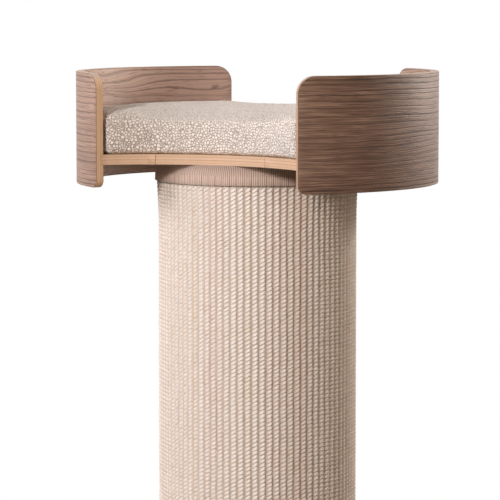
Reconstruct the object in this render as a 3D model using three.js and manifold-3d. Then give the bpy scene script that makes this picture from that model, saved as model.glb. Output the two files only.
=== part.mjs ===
// Cat scratching post: a thick column in a ribbed sisal sleeve that carries a round plywood nest.
// The nest has two moulded plywood side panels, housed round a flat platform, and a loose cushion.
// Millimetres, +Z up. The origin is on the floor, on the column's axis. The open front faces -Y.

import * as THREE from 'three';
import { mergeVertices } from 'three/addons/utils/BufferGeometryUtils.js';
import Module from 'manifold-3d';

const wasm = await Module();
wasm.setup();

const DEG = Math.PI / 180;

// ---------------------------------------------------------------- driving dimensions
const OVERALL_HEIGHT = 1100;

const PANEL_OUTER_RADIUS = 275;
const PANEL_THICKNESS = 12;
const PANEL_HEIGHT = 168.6;
const PANEL_CORNER_RADIUS = 26;
const PANEL_EDGE_EASE = 1.2;
const FRONT_GAP_HALF_ANGLE = 35.7 * DEG;
const REAR_GAP_HALF_ANGLE = 32.8 * DEG;

const PLATFORM_THICKNESS = 15;
const PLATFORM_BELOW_RIM = 120;
const PLATFORM_WAIST = 314;
const DADO_DEPTH = 4.5;
const CENTRE_BOARD_WIDTH = 176;
const TONGUE_WIDTH = 24;
const TONGUE_THICKNESS = 4;
const TONGUE_LENGTH = 220;

const CUSHION_THICKNESS = 64;
const CUSHION_CROWN = 12;
const CUSHION_CROWN_RUN = 90;
const CUSHION_EDGE_ROUND = 16;
const CUSHION_CORNER_ROUND = 14;
const CUSHION_SIDE_CLEARANCE = 2;
const CUSHION_SETBACK = 2;

const TUBE_OUTER_RADIUS = 145;
const TUBE_WALL = 8;
const DISC_THICKNESS = 25;

const SLEEVE_THICKNESS = 6.2;
const SLEEVE_RIB_COUNT = 88;
const SLEEVE_RIB_HEIGHT = 2.6;
const SLEEVE_FLARE = 2.8;
const SLEEVE_FLARE_LENGTH = 70;
const SLEEVE_FLARE_HALFWAY = 0.4; // the share of its flare that the sleeve has halfway up it

const NECK_HEIGHT = 16;
const NECK_FOOT_THICKNESS = 10;
const NECK_FLARE = 5.5;
const NECK_HOLLOW = 0.15; // the share of its flare that the collar's curve leans out at first
const BINDING_HEIGHT = 14;
const BINDING_THICKNESS = 1.5;

const BASE_RADIUS = 240;
const BASE_THICKNESS = 8;
const BASE_EDGE_BEVEL = 2;
const PAD_COUNT = 6;
const PAD_RADIUS = 22;
const PAD_THICKNESS = 3;
const PAD_EDGE_INSET = 35; // from the plate's rim in to each pad's middle

const BOLT_SHANK_RADIUS = 4;
const BOLT_HEAD_RADIUS = 7.8;
const BOLT_HEAD_HEIGHT = 4.4;
const BOLT_SOCKET_ACROSS_FLATS = 5;
const BOLT_SOCKET_DEPTH = 2.6;
const PLATFORM_BOLT_LENGTH = 30;
const PLATFORM_BOLT_COUNT = 6;
const PLATFORM_BOLT_CIRCLE_RADIUS = 112;
const BASE_BOLT_LENGTH = 24;
const BASE_BOLT_COUNT = 4;
const BASE_BOLT_CIRCLE_RADIUS = 100;
const INSERT_WALL = 2;
const INSERT_LENGTH = 18;

// ---------------------------------------------------------------- clearances
const FIT = 0.3; // round a curved or drawn-on piece
const GLUE_LINE = 0.1; // between two flat faces that are glued or clamped together
const BOLT_RECESS = 0.5; // a bolt's head lies this far below the face it is sunk in
const OVERREACH = 1; // a cutter runs this far past the faces it cuts through

// ---------------------------------------------------------------- facets
const RING_SEGMENTS = 72;
const FASTENER_SEGMENTS = 16;
const PANEL_STEP = 3 * DEG;
const CORNER_STEPS = 5;
const OUTLINE_ARC_SEGMENTS = 18;
const NECK_CURVE_STEPS = 3;
const CUSHION_ARC_SEGMENTS = 5;
const CUSHION_EDGE_STEPS = 2;

// ---------------------------------------------------------------- levels and radii that follow
const BASE_TOP = PAD_THICKNESS + BASE_THICKNESS;
const PAD_CIRCLE_RADIUS = BASE_RADIUS - PAD_EDGE_INSET;
const PANEL_BOTTOM = OVERALL_HEIGHT - PANEL_HEIGHT;
const PLATFORM_TOP = OVERALL_HEIGHT - PLATFORM_BELOW_RIM;
const PLATFORM_BOTTOM = PLATFORM_TOP - PLATFORM_THICKNESS;
const TUBE_BOTTOM = BASE_TOP + GLUE_LINE;
const TUBE_TOP = PLATFORM_BOTTOM - GLUE_LINE;
const SLEEVE_BOTTOM = BASE_TOP + GLUE_LINE + BINDING_THICKNESS + FIT;
const SLEEVE_TOP = PLATFORM_BOTTOM - NECK_HEIGHT - GLUE_LINE - BINDING_THICKNESS - FIT;

const PANEL_INNER_RADIUS = PANEL_OUTER_RADIUS - PANEL_THICKNESS;
const PANEL_MIDDLE_RADIUS = (PANEL_OUTER_RADIUS + PANEL_INNER_RADIUS) / 2;
const DADO_RADIUS = PANEL_INNER_RADIUS + DADO_DEPTH;
const SLEEVE_INNER_RADIUS = TUBE_OUTER_RADIUS + FIT;
const SLEEVE_RADIUS = SLEEVE_INNER_RADIUS + SLEEVE_THICKNESS;
const SLEEVE_TOP_RADIUS = SLEEVE_RADIUS + SLEEVE_FLARE;
const DISC_RADIUS = TUBE_OUTER_RADIUS - TUBE_WALL - FIT;
const INSERT_BORE_RADIUS = BOLT_SHANK_RADIUS + FIT;
const INSERT_RADIUS = INSERT_BORE_RADIUS + INSERT_WALL;

const QUARTER_TURN = Math.PI / 2;
const RIGHT_FRONT = FRONT_GAP_HALF_ANGLE - QUARTER_TURN;
const RIGHT_REAR = QUARTER_TURN - REAR_GAP_HALF_ANGLE;
const LEFT_REAR = QUARTER_TURN + REAR_GAP_HALF_ANGLE;
const LEFT_FRONT = 3 * QUARTER_TURN - FRONT_GAP_HALF_ANGLE;
const NEST_SIDES = [
  { from: RIGHT_FRONT, to: RIGHT_REAR, next: LEFT_REAR, gap: REAR_GAP_HALF_ANGLE, side: 1 },
  { from: LEFT_REAR, to: LEFT_FRONT, next: RIGHT_FRONT, gap: FRONT_GAP_HALF_ANGLE, side: -1 },
];

// ---------------------------------------------------------------- finishes
const finish = (color, roughness, metalness = 0) =>
  new THREE.MeshStandardMaterial({ color, roughness, metalness });

const WALNUT_VENEER = finish('#8a6f60', 0.55);
const BIRCH_PLY = finish('#cfa77d', 0.6);
const BOUCLE = finish('#d9cec1', 0.95);
const SISAL = finish('#e0d0bd', 0.95);
const TAUPE_WEBBING = finish('#b29a8a', 0.9);
const WOUND_BOARD = finish('#a58a6c', 0.9);
const POWDER_COAT = finish('#5a5048', 0.6, 0.2);
const ZINC_STEEL = finish('#b9bcc0', 0.35, 1);
const FELT = finish('#4c4742', 1);

// ---------------------------------------------------------------- shape helpers

/** A closed mesh as a manifold solid: shared vertices merged, slivers of no area left out. */
function toSolid(geometry) {
  const bare = geometry.clone();
  bare.deleteAttribute('normal');
  bare.deleteAttribute('uv');
  const merged = mergeVertices(bare);
  const index = merged.index.array;
  const triangles = [];
  for (let i = 0; i < index.length; i += 3) {
    const [a, b, c] = [index[i], index[i + 1], index[i + 2]];
    if (a !== b && b !== c && c !== a) {
      triangles.push(a, b, c);
    }
  }
  return new wasm.Manifold(
    new wasm.Mesh({
      numProp: 3,
      vertProperties: new Float32Array(merged.attributes.position.array),
      triVerts: new Uint32Array(triangles),
    }),
  );
}

/** A manifold solid as a geometry that three.js can show. */
function toGeometry(solid) {
  const { vertProperties, triVerts } = solid.getMesh();
  const geometry = new THREE.BufferGeometry();
  geometry.setAttribute('position', new THREE.BufferAttribute(vertProperties, 3));
  geometry.setIndex(new THREE.BufferAttribute(triVerts, 1));
  geometry.computeVertexNormals();
  return geometry;
}

/** body with every tool cut out of it. */
function cut(body, ...tools) {
  return toGeometry(tools.reduce((rest, tool) => rest.subtract(toSolid(tool)), toSolid(body)));
}

/** A profile of [radius, height] pairs, run anticlockwise, turned about Z. */
function revolve(profile, segments = RING_SEGMENTS) {
  const points = profile.map(([radius, height]) => new THREE.Vector2(radius, height));
  return new THREE.LatheGeometry(points, segments).rotateX(Math.PI / 2);
}

/** A ring of rectangular section. */
function ring(innerRadius, outerRadius, bottom, top, segments = RING_SEGMENTS) {
  return revolve([
    [innerRadius, bottom],
    [outerRadius, bottom],
    [outerRadius, top],
    [innerRadius, top],
    [innerRadius, bottom],
  ], segments);
}

/** A round bar from bottom to top. */
function roundBar(radius, bottom, top, segments = RING_SEGMENTS) {
  return revolve([[0, bottom], [radius, bottom], [radius, top], [0, top]], segments);
}

/** A flat board of the given outline, from bottom up to bottom + thickness. */
function board(outline, bottom, thickness, segments = OUTLINE_ARC_SEGMENTS) {
  const geometry = new THREE.ExtrudeGeometry(outline, {
    depth: thickness,
    bevelEnabled: false,
    curveSegments: segments,
  });
  return geometry.translate(0, 0, bottom);
}

/** A rectangular block with its centre at (x, y, z). */
function block(width, depth, height, x, y, z) {
  return new THREE.BoxGeometry(width, depth, height).translate(x, y, z);
}

/** A skin over equal rings of points, closed at both ends by flat caps.
 *  flatten gives a point of a ring its place in the plane of its cap, where the ring runs
 *  anticlockwise as seen by someone the rings are coming towards. */
function loft(sections, flatten) {
  const count = sections[0].length;
  const last = (sections.length - 1) * count;
  const index = [];
  for (let s = 0; s < sections.length - 1; s += 1) {
    for (let i = 0; i < count; i += 1) {
      const a = s * count + i;
      const b = s * count + ((i + 1) % count);
      index.push(a, b, b + count, a, b + count, a + count);
    }
  }
  for (const [a, b, c] of THREE.ShapeUtils.triangulateShape(sections[0].map(flatten), [])) {
    index.push(c, b, a);
  }
  for (const [a, b, c] of THREE.ShapeUtils.triangulateShape(sections.at(-1).map(flatten), [])) {
    index.push(last + a, last + b, last + c);
  }
  const geometry = new THREE.BufferGeometry().setFromPoints(sections.flat());
  geometry.setIndex(index);
  geometry.computeVertexNormals();
  return geometry;
}

/** Places on a circle round the axis, the first one at firstAngle. */
function aroundCircle(count, radius, firstAngle = 0) {
  return Array.from({ length: count }, (_, i) => {
    const angle = firstAngle + (i * 2 * Math.PI) / count;
    return new THREE.Vector2(radius * Math.cos(angle), radius * Math.sin(angle));
  });
}

// ---------------------------------------------------------------- the part's tree
const scratchingPost = new THREE.Group();
const column = new THREE.Group();
const nest = new THREE.Group();
scratchingPost.add(column, nest);

/** Adds one named piece to a group. */
function addPiece(group, name, geometry, material, x = 0, y = 0, z = 0) {
  const piece = new THREE.Mesh(geometry, material);
  piece.name = name;
  piece.position.set(x, y, z);
  group.add(piece);
  return piece;
}

// ---------------------------------------------------------------- fasteners

/** A countersunk bolt, its head's flat face at z = 0 and its shank down -Z. */
function countersunkBolt(length) {
  const blank = revolve([
    [0, -length],
    [BOLT_SHANK_RADIUS, -length],
    [BOLT_SHANK_RADIUS, -BOLT_HEAD_HEIGHT],
    [BOLT_HEAD_RADIUS, 0],
    [0, 0],
  ], FASTENER_SEGMENTS);
  const socketRadius = BOLT_SOCKET_ACROSS_FLATS / Math.sqrt(3);
  const socketHeight = BOLT_SOCKET_DEPTH + OVERREACH;
  const socket = new THREE.CylinderGeometry(socketRadius, socketRadius, socketHeight, 6)
    .rotateX(Math.PI / 2)
    .translate(0, 0, (OVERREACH - BOLT_SOCKET_DEPTH) / 2);
  return cut(blank, socket);
}

/** What a board loses to such a bolt: a clear hole with a countersink, the board's face at z = 0. */
function countersunkHole(thickness) {
  const coneDepth = BOLT_HEAD_HEIGHT + BOLT_RECESS;
  return revolve([
    [0, -thickness - OVERREACH],
    [BOLT_SHANK_RADIUS + FIT, -thickness - OVERREACH],
    [BOLT_SHANK_RADIUS + FIT, -coneDepth - FIT],
    [BOLT_HEAD_RADIUS + FIT, -BOLT_RECESS - FIT],
    [BOLT_HEAD_RADIUS + FIT, OVERREACH],
    [0, OVERREACH],
  ], FASTENER_SEGMENTS);
}

/** A threaded insert, its mouth at z = 0 and its sleeve down -Z. */
function threadedInsert() {
  return ring(INSERT_BORE_RADIUS, INSERT_RADIUS, -INSERT_LENGTH, 0, FASTENER_SEGMENTS);
}

const platformBoltPlaces = aroundCircle(PLATFORM_BOLT_COUNT, PLATFORM_BOLT_CIRCLE_RADIUS);
const baseBoltPlaces = aroundCircle(BASE_BOLT_COUNT, BASE_BOLT_CIRCLE_RADIUS, Math.PI / BASE_BOLT_COUNT);

// ---------------------------------------------------------------- base

/** The steel plate, with a bevelled upper rim and countersinks in its underside. */
function basePlate() {
  const plate = revolve([
    [0, PAD_THICKNESS],
    [BASE_RADIUS, PAD_THICKNESS],
    [BASE_RADIUS, BASE_TOP - BASE_EDGE_BEVEL],
    [BASE_RADIUS - BASE_EDGE_BEVEL, BASE_TOP],
    [0, BASE_TOP],
  ]);
  const holes = baseBoltPlaces.map((place) =>
    countersunkHole(BASE_THICKNESS).rotateX(Math.PI).translate(place.x, place.y, PAD_THICKNESS));
  return cut(plate, ...holes);
}

addPiece(column, 'base_plate', basePlate(), POWDER_COAT);

aroundCircle(PAD_COUNT, PAD_CIRCLE_RADIUS).forEach((place, i) => {
  const pad = roundBar(PAD_RADIUS, 0, PAD_THICKNESS - GLUE_LINE, FASTENER_SEGMENTS);
  addPiece(column, `base_pad_${i + 1}`, pad, FELT, place.x, place.y);
});

// ---------------------------------------------------------------- column

/** A plywood plug for the tube, bored for its threaded inserts. */
function plugDisc(bottom, insertPlaces) {
  const disc = roundBar(DISC_RADIUS, bottom, bottom + DISC_THICKNESS);
  const [low, high] = [bottom - OVERREACH, bottom + DISC_THICKNESS + OVERREACH];
  const bores = insertPlaces.map((place) =>
    roundBar(INSERT_RADIUS + FIT, low, high, FASTENER_SEGMENTS).translate(place.x, place.y, 0));
  return cut(disc, ...bores);
}

/** The sleeve's outline at one height: one broad rib after another, with a groove between them. */
function ribbedOutline(radius, height) {
  const depthsOverRib = [1, 0, 0];
  const count = SLEEVE_RIB_COUNT * depthsOverRib.length;
  return Array.from({ length: count }, (_, i) => {
    const angle = (i / count) * 2 * Math.PI;
    const reach = radius - SLEEVE_RIB_HEIGHT * depthsOverRib[i % depthsOverRib.length];
    return new THREE.Vector3(reach * Math.cos(angle), reach * Math.sin(angle), height);
  });
}

/** The woven sleeve: upright ribs that run into a slight flare at the top. */
function sisalSleeve() {
  const flareStart = SLEEVE_TOP - SLEEVE_FLARE_LENGTH;
  const flareMiddle = SLEEVE_TOP - SLEEVE_FLARE_LENGTH / 2;
  const skin = loft([
    ribbedOutline(SLEEVE_RADIUS, SLEEVE_BOTTOM),
    ribbedOutline(SLEEVE_RADIUS, flareStart),
    ribbedOutline(SLEEVE_RADIUS + SLEEVE_FLARE * SLEEVE_FLARE_HALFWAY, flareMiddle),
    ribbedOutline(SLEEVE_TOP_RADIUS, SLEEVE_TOP),
  ], (point) => new THREE.Vector2(point.x, point.y));
  return cut(skin, roundBar(SLEEVE_INNER_RADIUS, SLEEVE_BOTTOM - OVERREACH, SLEEVE_TOP + OVERREACH));
}

/** A webbing band folded over the sleeve's edge: outer leg plus web.
 *  edge is the web's outer face, and lies above the leg if up is 1 and below it if up is -1. */
function sleeveBinding(sleeveRadius, edge, up) {
  const inner = sleeveRadius + FIT;
  const outer = inner + BINDING_THICKNESS;
  const web = edge - up * BINDING_THICKNESS;
  const legEnd = edge - up * BINDING_HEIGHT;
  const profile = [
    [SLEEVE_INNER_RADIUS, web],
    [inner, web],
    [inner, legEnd],
    [outer, legEnd],
    [outer, edge],
    [SLEEVE_INNER_RADIUS, edge],
    [SLEEVE_INNER_RADIUS, web],
  ];
  return revolve(up > 0 ? profile : profile.reverse());
}

/** The padded collar under the platform, hollow-curved out to its widest at the top. */
function neckCollar() {
  const bottom = PLATFORM_BOTTOM - NECK_HEIGHT;
  const top = PLATFORM_BOTTOM - GLUE_LINE;
  const footRadius = SLEEVE_INNER_RADIUS + NECK_FOOT_THICKNESS;
  const flare = new THREE.QuadraticBezierCurve(
    new THREE.Vector2(footRadius, bottom),
    new THREE.Vector2(footRadius + NECK_FLARE * NECK_HOLLOW, bottom + NECK_HEIGHT / 2),
    new THREE.Vector2(footRadius + NECK_FLARE, top),
  );
  const outside = flare.getPoints(NECK_CURVE_STEPS).map((point) => [point.x, point.y]);
  return revolve([
    [SLEEVE_INNER_RADIUS, bottom],
    ...outside,
    [SLEEVE_INNER_RADIUS, top],
    [SLEEVE_INNER_RADIUS, bottom],
  ]);
}

const tube = ring(TUBE_OUTER_RADIUS - TUBE_WALL, TUBE_OUTER_RADIUS, TUBE_BOTTOM, TUBE_TOP);
addPiece(column, 'core_tube', tube, WOUND_BOARD);
addPiece(column, 'bottom_disc', plugDisc(TUBE_BOTTOM, baseBoltPlaces), BIRCH_PLY);
addPiece(column, 'top_disc', plugDisc(TUBE_TOP - DISC_THICKNESS, platformBoltPlaces), BIRCH_PLY);
addPiece(column, 'sisal_sleeve', sisalSleeve(), SISAL);
addPiece(column, 'sleeve_bottom_binding',
  sleeveBinding(SLEEVE_RADIUS, BASE_TOP + GLUE_LINE, -1), TAUPE_WEBBING);
addPiece(column, 'sleeve_top_binding',
  sleeveBinding(SLEEVE_TOP_RADIUS, SLEEVE_TOP + BINDING_THICKNESS + FIT, 1), TAUPE_WEBBING);
addPiece(column, 'neck_collar', neckCollar(), TAUPE_WEBBING);

baseBoltPlaces.forEach((place, i) => {
  const bolt = countersunkBolt(BASE_BOLT_LENGTH).rotateX(Math.PI);
  const insert = threadedInsert().rotateX(Math.PI);
  const boltZ = PAD_THICKNESS + BOLT_RECESS;
  addPiece(column, `base_bolt_${i + 1}`, bolt, ZINC_STEEL, place.x, place.y, boltZ);
  addPiece(column, `base_insert_${i + 1}`, insert, ZINC_STEEL, place.x, place.y, TUBE_BOTTOM);
});

// ---------------------------------------------------------------- platform

/** A point at the given distance from the axis. */
const polar = (radius, angle) => new THREE.Vector2(radius * Math.cos(angle), radius * Math.sin(angle));

/** The hollow arc through both corners of a gap and the middle of its edge.
 *  side is 1 behind the axis and -1 in front of it. */
function bayArc(cornerRadius, middle, gapHalfAngle, side) {
  const halfWidth = cornerRadius * Math.sin(gapHalfAngle);
  const cornerDistance = cornerRadius * Math.cos(gapHalfAngle);
  const hollow = cornerDistance - middle;
  const radius = (halfWidth ** 2 + hollow ** 2) / (2 * hollow);
  const centre = middle + radius;
  const spread = Math.atan2(halfWidth, centre - cornerDistance);
  const inward = -side * QUARTER_TURN;
  return { y: side * centre, radius, from: inward + spread, to: inward - spread };
}

/** The nest's plan: an arc on each side and a hollow bay behind and in front.
 *  The arcs lie at sideRadius, the bays spring from cornerRadius and reach in to waist / 2.
 *  Each corner is rounded from the distance cornerRound on both of its sides. */
function nestOutline(sideRadius, cornerRadius, waist, cornerRound = 0) {
  const outline = new THREE.Shape();
  const sideTrim = cornerRound / sideRadius;
  for (const { from, to, next, gap, side } of NEST_SIDES) {
    outline.absarc(0, 0, sideRadius, from + sideTrim, to - sideTrim);
    const bay = bayArc(cornerRadius, waist / 2, gap, side);
    const bayTrim = cornerRound / bay.radius;
    if (cornerRound > 0) {
      const corner = polar(cornerRadius, to);
      const bayStart = polar(bay.radius, bay.from - bayTrim);
      outline.quadraticCurveTo(corner.x, corner.y, bayStart.x, bay.y + bayStart.y);
    }
    outline.absarc(0, bay.y, bay.radius, bay.from - bayTrim, bay.to + bayTrim, true);
    if (cornerRound > 0) {
      const corner = polar(cornerRadius, next);
      const sideStart = polar(sideRadius, next + sideTrim);
      outline.quadraticCurveTo(corner.x, corner.y, sideStart.x, sideStart.y);
    }
  }
  outline.closePath();
  return outline;
}

/** One of the platform's boards, between x = low and x = high, bored and grooved for tongues. */
function platformBoard(low, high) {
  const whole = toSolid(board(nestOutline(DADO_RADIUS - FIT, PANEL_INNER_RADIUS, PLATFORM_WAIST),
    PLATFORM_BOTTOM, PLATFORM_THICKNESS));
  const length = 2 * PANEL_OUTER_RADIUS;
  const height = PLATFORM_THICKNESS + 2 * OVERREACH;
  const middleZ = PLATFORM_BOTTOM + PLATFORM_THICKNESS / 2;
  const span = toSolid(block(high - low, length, height, (low + high) / 2, 0, middleZ));
  const grooves = [-1, 1].map((side) =>
    toSolid(block(TONGUE_WIDTH, TONGUE_LENGTH, TONGUE_THICKNESS,
      side * CENTRE_BOARD_WIDTH / 2, 0, middleZ)));
  const holes = platformBoltPlaces.map((place) =>
    toSolid(countersunkHole(PLATFORM_THICKNESS).translate(place.x, place.y, PLATFORM_TOP)));
  const cutters = [...grooves, ...holes];
  return toGeometry(cutters.reduce((rest, tool) => rest.subtract(tool), whole.intersect(span)));
}

const halfCentre = CENTRE_BOARD_WIDTH / 2;
const centreBoard = platformBoard(-halfCentre + GLUE_LINE / 2, halfCentre - GLUE_LINE / 2);
const rightWing = platformBoard(halfCentre + GLUE_LINE / 2, PANEL_OUTER_RADIUS);
const leftWing = platformBoard(-PANEL_OUTER_RADIUS, -halfCentre - GLUE_LINE / 2);
addPiece(nest, 'platform_centre_board', centreBoard, BIRCH_PLY);
addPiece(nest, 'platform_right_wing', rightWing, BIRCH_PLY);
addPiece(nest, 'platform_left_wing', leftWing, BIRCH_PLY);

for (const [name, side] of [['platform_right_tongue', 1], ['platform_left_tongue', -1]]) {
  const tongue = new THREE.BoxGeometry(
    TONGUE_WIDTH - 2 * FIT,
    TONGUE_LENGTH - 2 * FIT,
    TONGUE_THICKNESS - 2 * GLUE_LINE,
  );
  addPiece(nest, name, tongue, BIRCH_PLY, side * halfCentre, 0, PLATFORM_BOTTOM + PLATFORM_THICKNESS / 2);
}

platformBoltPlaces.forEach((place, i) => {
  const bolt = countersunkBolt(PLATFORM_BOLT_LENGTH);
  const boltZ = PLATFORM_TOP - BOLT_RECESS;
  addPiece(nest, `platform_bolt_${i + 1}`, bolt, ZINC_STEEL, place.x, place.y, boltZ);
  addPiece(nest, `platform_insert_${i + 1}`, threadedInsert(), ZINC_STEEL, place.x, place.y, TUBE_TOP);
});

// ---------------------------------------------------------------- side panels

/** A panel's section at one angle: eased edges, and the dado in its inner face.
 *  trim lowers the top edge and raises the bottom edge, and ease thins the section on both faces. */
function panelSection(angle, trim, ease) {
  const inner = PANEL_INNER_RADIUS + ease;
  const outer = PANEL_OUTER_RADIUS - ease;
  const low = PANEL_BOTTOM + trim;
  const high = OVERALL_HEIGHT - trim;
  const edge = PANEL_EDGE_EASE;
  const dadoLow = PLATFORM_BOTTOM - GLUE_LINE;
  const dadoHigh = PLATFORM_TOP + GLUE_LINE;
  return [
    [inner + edge, low],
    [outer - edge, low],
    [outer, low + edge],
    [outer, high - edge],
    [outer - edge, high],
    [inner + edge, high],
    [inner, high - edge],
    [inner, dadoHigh],
    [DADO_RADIUS, dadoHigh],
    [DADO_RADIUS, dadoLow],
    [inner, dadoLow],
    [inner, low + edge],
  ].map(([radius, z]) => new THREE.Vector3(radius * Math.cos(angle), radius * Math.sin(angle), z));
}

/** A moulded side panel between two angles, with a rounded corner above and below each end.
 *  Its sections run clockwise round the axis. */
function sidePanel(lowAngle, highAngle) {
  const cornerStations = Array.from({ length: CORNER_STEPS + 1 }, (_, i) => {
    const turn = (i / CORNER_STEPS) * (Math.PI / 2);
    return {
      along: (PANEL_CORNER_RADIUS * (1 - Math.cos(turn))) / PANEL_MIDDLE_RADIUS,
      trim: PANEL_CORNER_RADIUS * (1 - Math.sin(turn)),
      ease: i === 0 ? PANEL_EDGE_EASE : 0,
    };
  });
  const cornerAngle = PANEL_CORNER_RADIUS / PANEL_MIDDLE_RADIUS;
  const between = highAngle - lowAngle - 2 * cornerAngle;
  const steps = Math.ceil(between / PANEL_STEP);
  const sections = [];
  for (const { along, trim, ease } of cornerStations) {
    sections.push(panelSection(highAngle - along, trim, ease));
  }
  for (let i = 1; i < steps; i += 1) {
    sections.push(panelSection(highAngle - cornerAngle - (i / steps) * between, 0, 0));
  }
  for (const { along, trim, ease } of cornerStations.reverse()) {
    sections.push(panelSection(lowAngle + along, trim, ease));
  }
  return loft(sections, (point) => new THREE.Vector2(Math.hypot(point.x, point.y), point.z));
}

addPiece(nest, 'right_side_panel', sidePanel(RIGHT_FRONT, RIGHT_REAR), WALNUT_VENEER);
addPiece(nest, 'left_side_panel', sidePanel(LEFT_REAR, LEFT_FRONT), WALNUT_VENEER);

// ---------------------------------------------------------------- cushion

/** One level of the cushion: the nest's plan drawn in by inset, as a ring of points. */
function cushionRing(inset, height) {
  const sideRadius = PANEL_INNER_RADIUS - CUSHION_SIDE_CLEARANCE - inset;
  const waist = PLATFORM_WAIST - 2 * (CUSHION_SETBACK + inset);
  const plan = nestOutline(sideRadius, sideRadius, waist, CUSHION_CORNER_ROUND);
  return plan
    .getPoints(CUSHION_ARC_SEGMENTS)
    .filter((point, i, all) => point.distanceTo(all.at(i - 1)) > GLUE_LINE)
    .map((point) => new THREE.Vector3(point.x, point.y, height));
}

/** The loose cushion: a flat underside, rounded edges and a top crowned towards its middle. */
function cushion() {
  const round = CUSHION_EDGE_ROUND;
  const rim = CUSHION_THICKNESS - CUSHION_CROWN;
  const levels = [];
  for (let i = 0; i <= CUSHION_EDGE_STEPS; i += 1) {
    const turn = (i / CUSHION_EDGE_STEPS) * QUARTER_TURN;
    levels.push([round * (1 - Math.sin(turn)), round * (1 - Math.cos(turn))]);
  }
  for (let i = 0; i <= CUSHION_EDGE_STEPS; i += 1) {
    const turn = (i / CUSHION_EDGE_STEPS) * QUARTER_TURN;
    levels.push([round * (1 - Math.cos(turn)), rim - round * (1 - Math.sin(turn))]);
  }
  for (let i = 1; i <= CUSHION_EDGE_STEPS; i += 1) {
    const share = i / CUSHION_EDGE_STEPS;
    levels.push([
      round + (CUSHION_CROWN_RUN - round) * share,
      rim + CUSHION_CROWN * (1 - (1 - share) ** 2),
    ]);
  }
  const bottom = PLATFORM_TOP + FIT;
  const rings = levels.map(([inset, height]) => cushionRing(inset, bottom + height));
  return loft(rings, (point) => new THREE.Vector2(point.x, point.y));
}

addPiece(nest, 'cushion', cushion(), BOUCLE);

export default scratchingPost;
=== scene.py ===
"""A cat scratching post, dressed for its picture.

A column in a ribbed sisal sleeve carries a round nest: two moulded plywood sides veneered in walnut,
a plywood platform in three boards and a loose boucle cushion. Metres, +Z up, the open front at -Y.
"""

import logging
import math
from dataclasses import dataclass
from enum import Enum
from typing import Callable, Sequence

import bmesh
import bpy
import numpy as np
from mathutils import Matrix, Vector, noise
from mathutils.geometry import tessellate_polygon


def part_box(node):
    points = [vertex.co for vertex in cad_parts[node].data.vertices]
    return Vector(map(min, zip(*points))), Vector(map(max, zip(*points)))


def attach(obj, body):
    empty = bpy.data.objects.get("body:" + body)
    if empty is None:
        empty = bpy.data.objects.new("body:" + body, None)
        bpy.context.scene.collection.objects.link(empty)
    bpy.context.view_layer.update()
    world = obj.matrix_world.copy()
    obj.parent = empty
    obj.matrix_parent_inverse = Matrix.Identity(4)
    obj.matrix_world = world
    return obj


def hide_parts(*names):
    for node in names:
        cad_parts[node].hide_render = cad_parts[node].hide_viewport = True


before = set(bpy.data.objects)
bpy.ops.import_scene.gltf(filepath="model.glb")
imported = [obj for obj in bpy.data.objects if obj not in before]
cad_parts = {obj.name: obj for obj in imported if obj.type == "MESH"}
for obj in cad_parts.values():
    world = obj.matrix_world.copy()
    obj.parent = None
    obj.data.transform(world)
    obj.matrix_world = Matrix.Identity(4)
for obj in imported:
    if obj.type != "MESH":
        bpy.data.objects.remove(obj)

LOG = logging.getLogger("scratching_post")

MM = 0.001
QUARTER_TURN = math.pi / 2

Colour = tuple[float, float, float, float]
Settings = dict[str, object]


class Body(Enum):
    """The two bodies that move against each other."""

    POST = "post"
    CUSHION = "cushion"


class Slot(Enum):
    """Names for the pieces' material slots. A ribbed band holds one, but no piece takes its finish from them."""

    VENEERED_SIDE = "walnut_veneered_plywood"
    PLATFORM = "platform_plywood"
    CUSHION = "boucle_fabric"
    SLEEVE = "woven_sisal"
    BINDING = "taupe_webbing"
    COLLAR = "taupe_ribbed_fabric"
    BASE = "powder_coated_steel"
    BOLT = "zinc_steel"


class Side(Enum):
    """Which side of the nest a piece stands on, as a sign of X."""

    LEFT = -1
    RIGHT = 1


class PlyStack(Enum):
    """The way in which a board's plies lie on each other."""

    RADIAL = "radial"
    UPRIGHT = "upright"


# ---------------------------------------------------------------- nodes and colours


def linear(code: str) -> Colour:
    """Turns an sRGB hex colour to linear.

    Args:
        code: A colour such as "#d9cec1".

    Returns:
        Linear red, green and blue, and an alpha of 1.
    """
    shares = [int(code[i:i + 2], 16) / 255 for i in (1, 3, 5)]
    red, green, blue = [s / 12.92 if s <= 0.04045 else ((s + 0.055) / 1.055) ** 2.4 for s in shares]
    return red, green, blue, 1.0


def add_node(tree: bpy.types.NodeTree, kind: str, settings: Settings | None = None,
             links: dict[str | int, object] | None = None) -> bpy.types.Node:
    """Adds a node with its settings and links.

    Args:
        tree: The node tree that gets the node.
        kind: The node's type, such as "ShaderNodeMath".
        settings: Its properties by name. "stops" holds a colour ramp's (place, hex) pairs.
        links: Its inputs by name or number, each an output socket to link or a value to set.

    Returns:
        The new node.
    """
    node = tree.nodes.new(kind)
    for name, value in (settings or {}).items():
        if name == "stops":
            elements = node.color_ramp.elements
            while len(elements) < len(value):
                elements.new(1.0)
            for element, (place, code) in zip(elements, value):
                element.position = place
                element.color = linear(code)
        else:
            setattr(node, name, value)
    for name, value in (links or {}).items():
        if isinstance(value, bpy.types.NodeSocket):
            tree.links.new(value, node.inputs[name])
        else:
            node.inputs[name].default_value = value
    return node


def new_surface(name: str) -> tuple[bpy.types.Material, bpy.types.NodeTree]:
    """Makes an empty node material.

    Args:
        name: The material's name.

    Returns:
        The material and its node tree, which holds an output node only.
    """
    material = bpy.data.materials.new(name)
    material.use_nodes = True
    tree = material.node_tree
    tree.nodes.clear()
    add_node(tree, "ShaderNodeOutputMaterial")
    return material, tree


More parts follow.
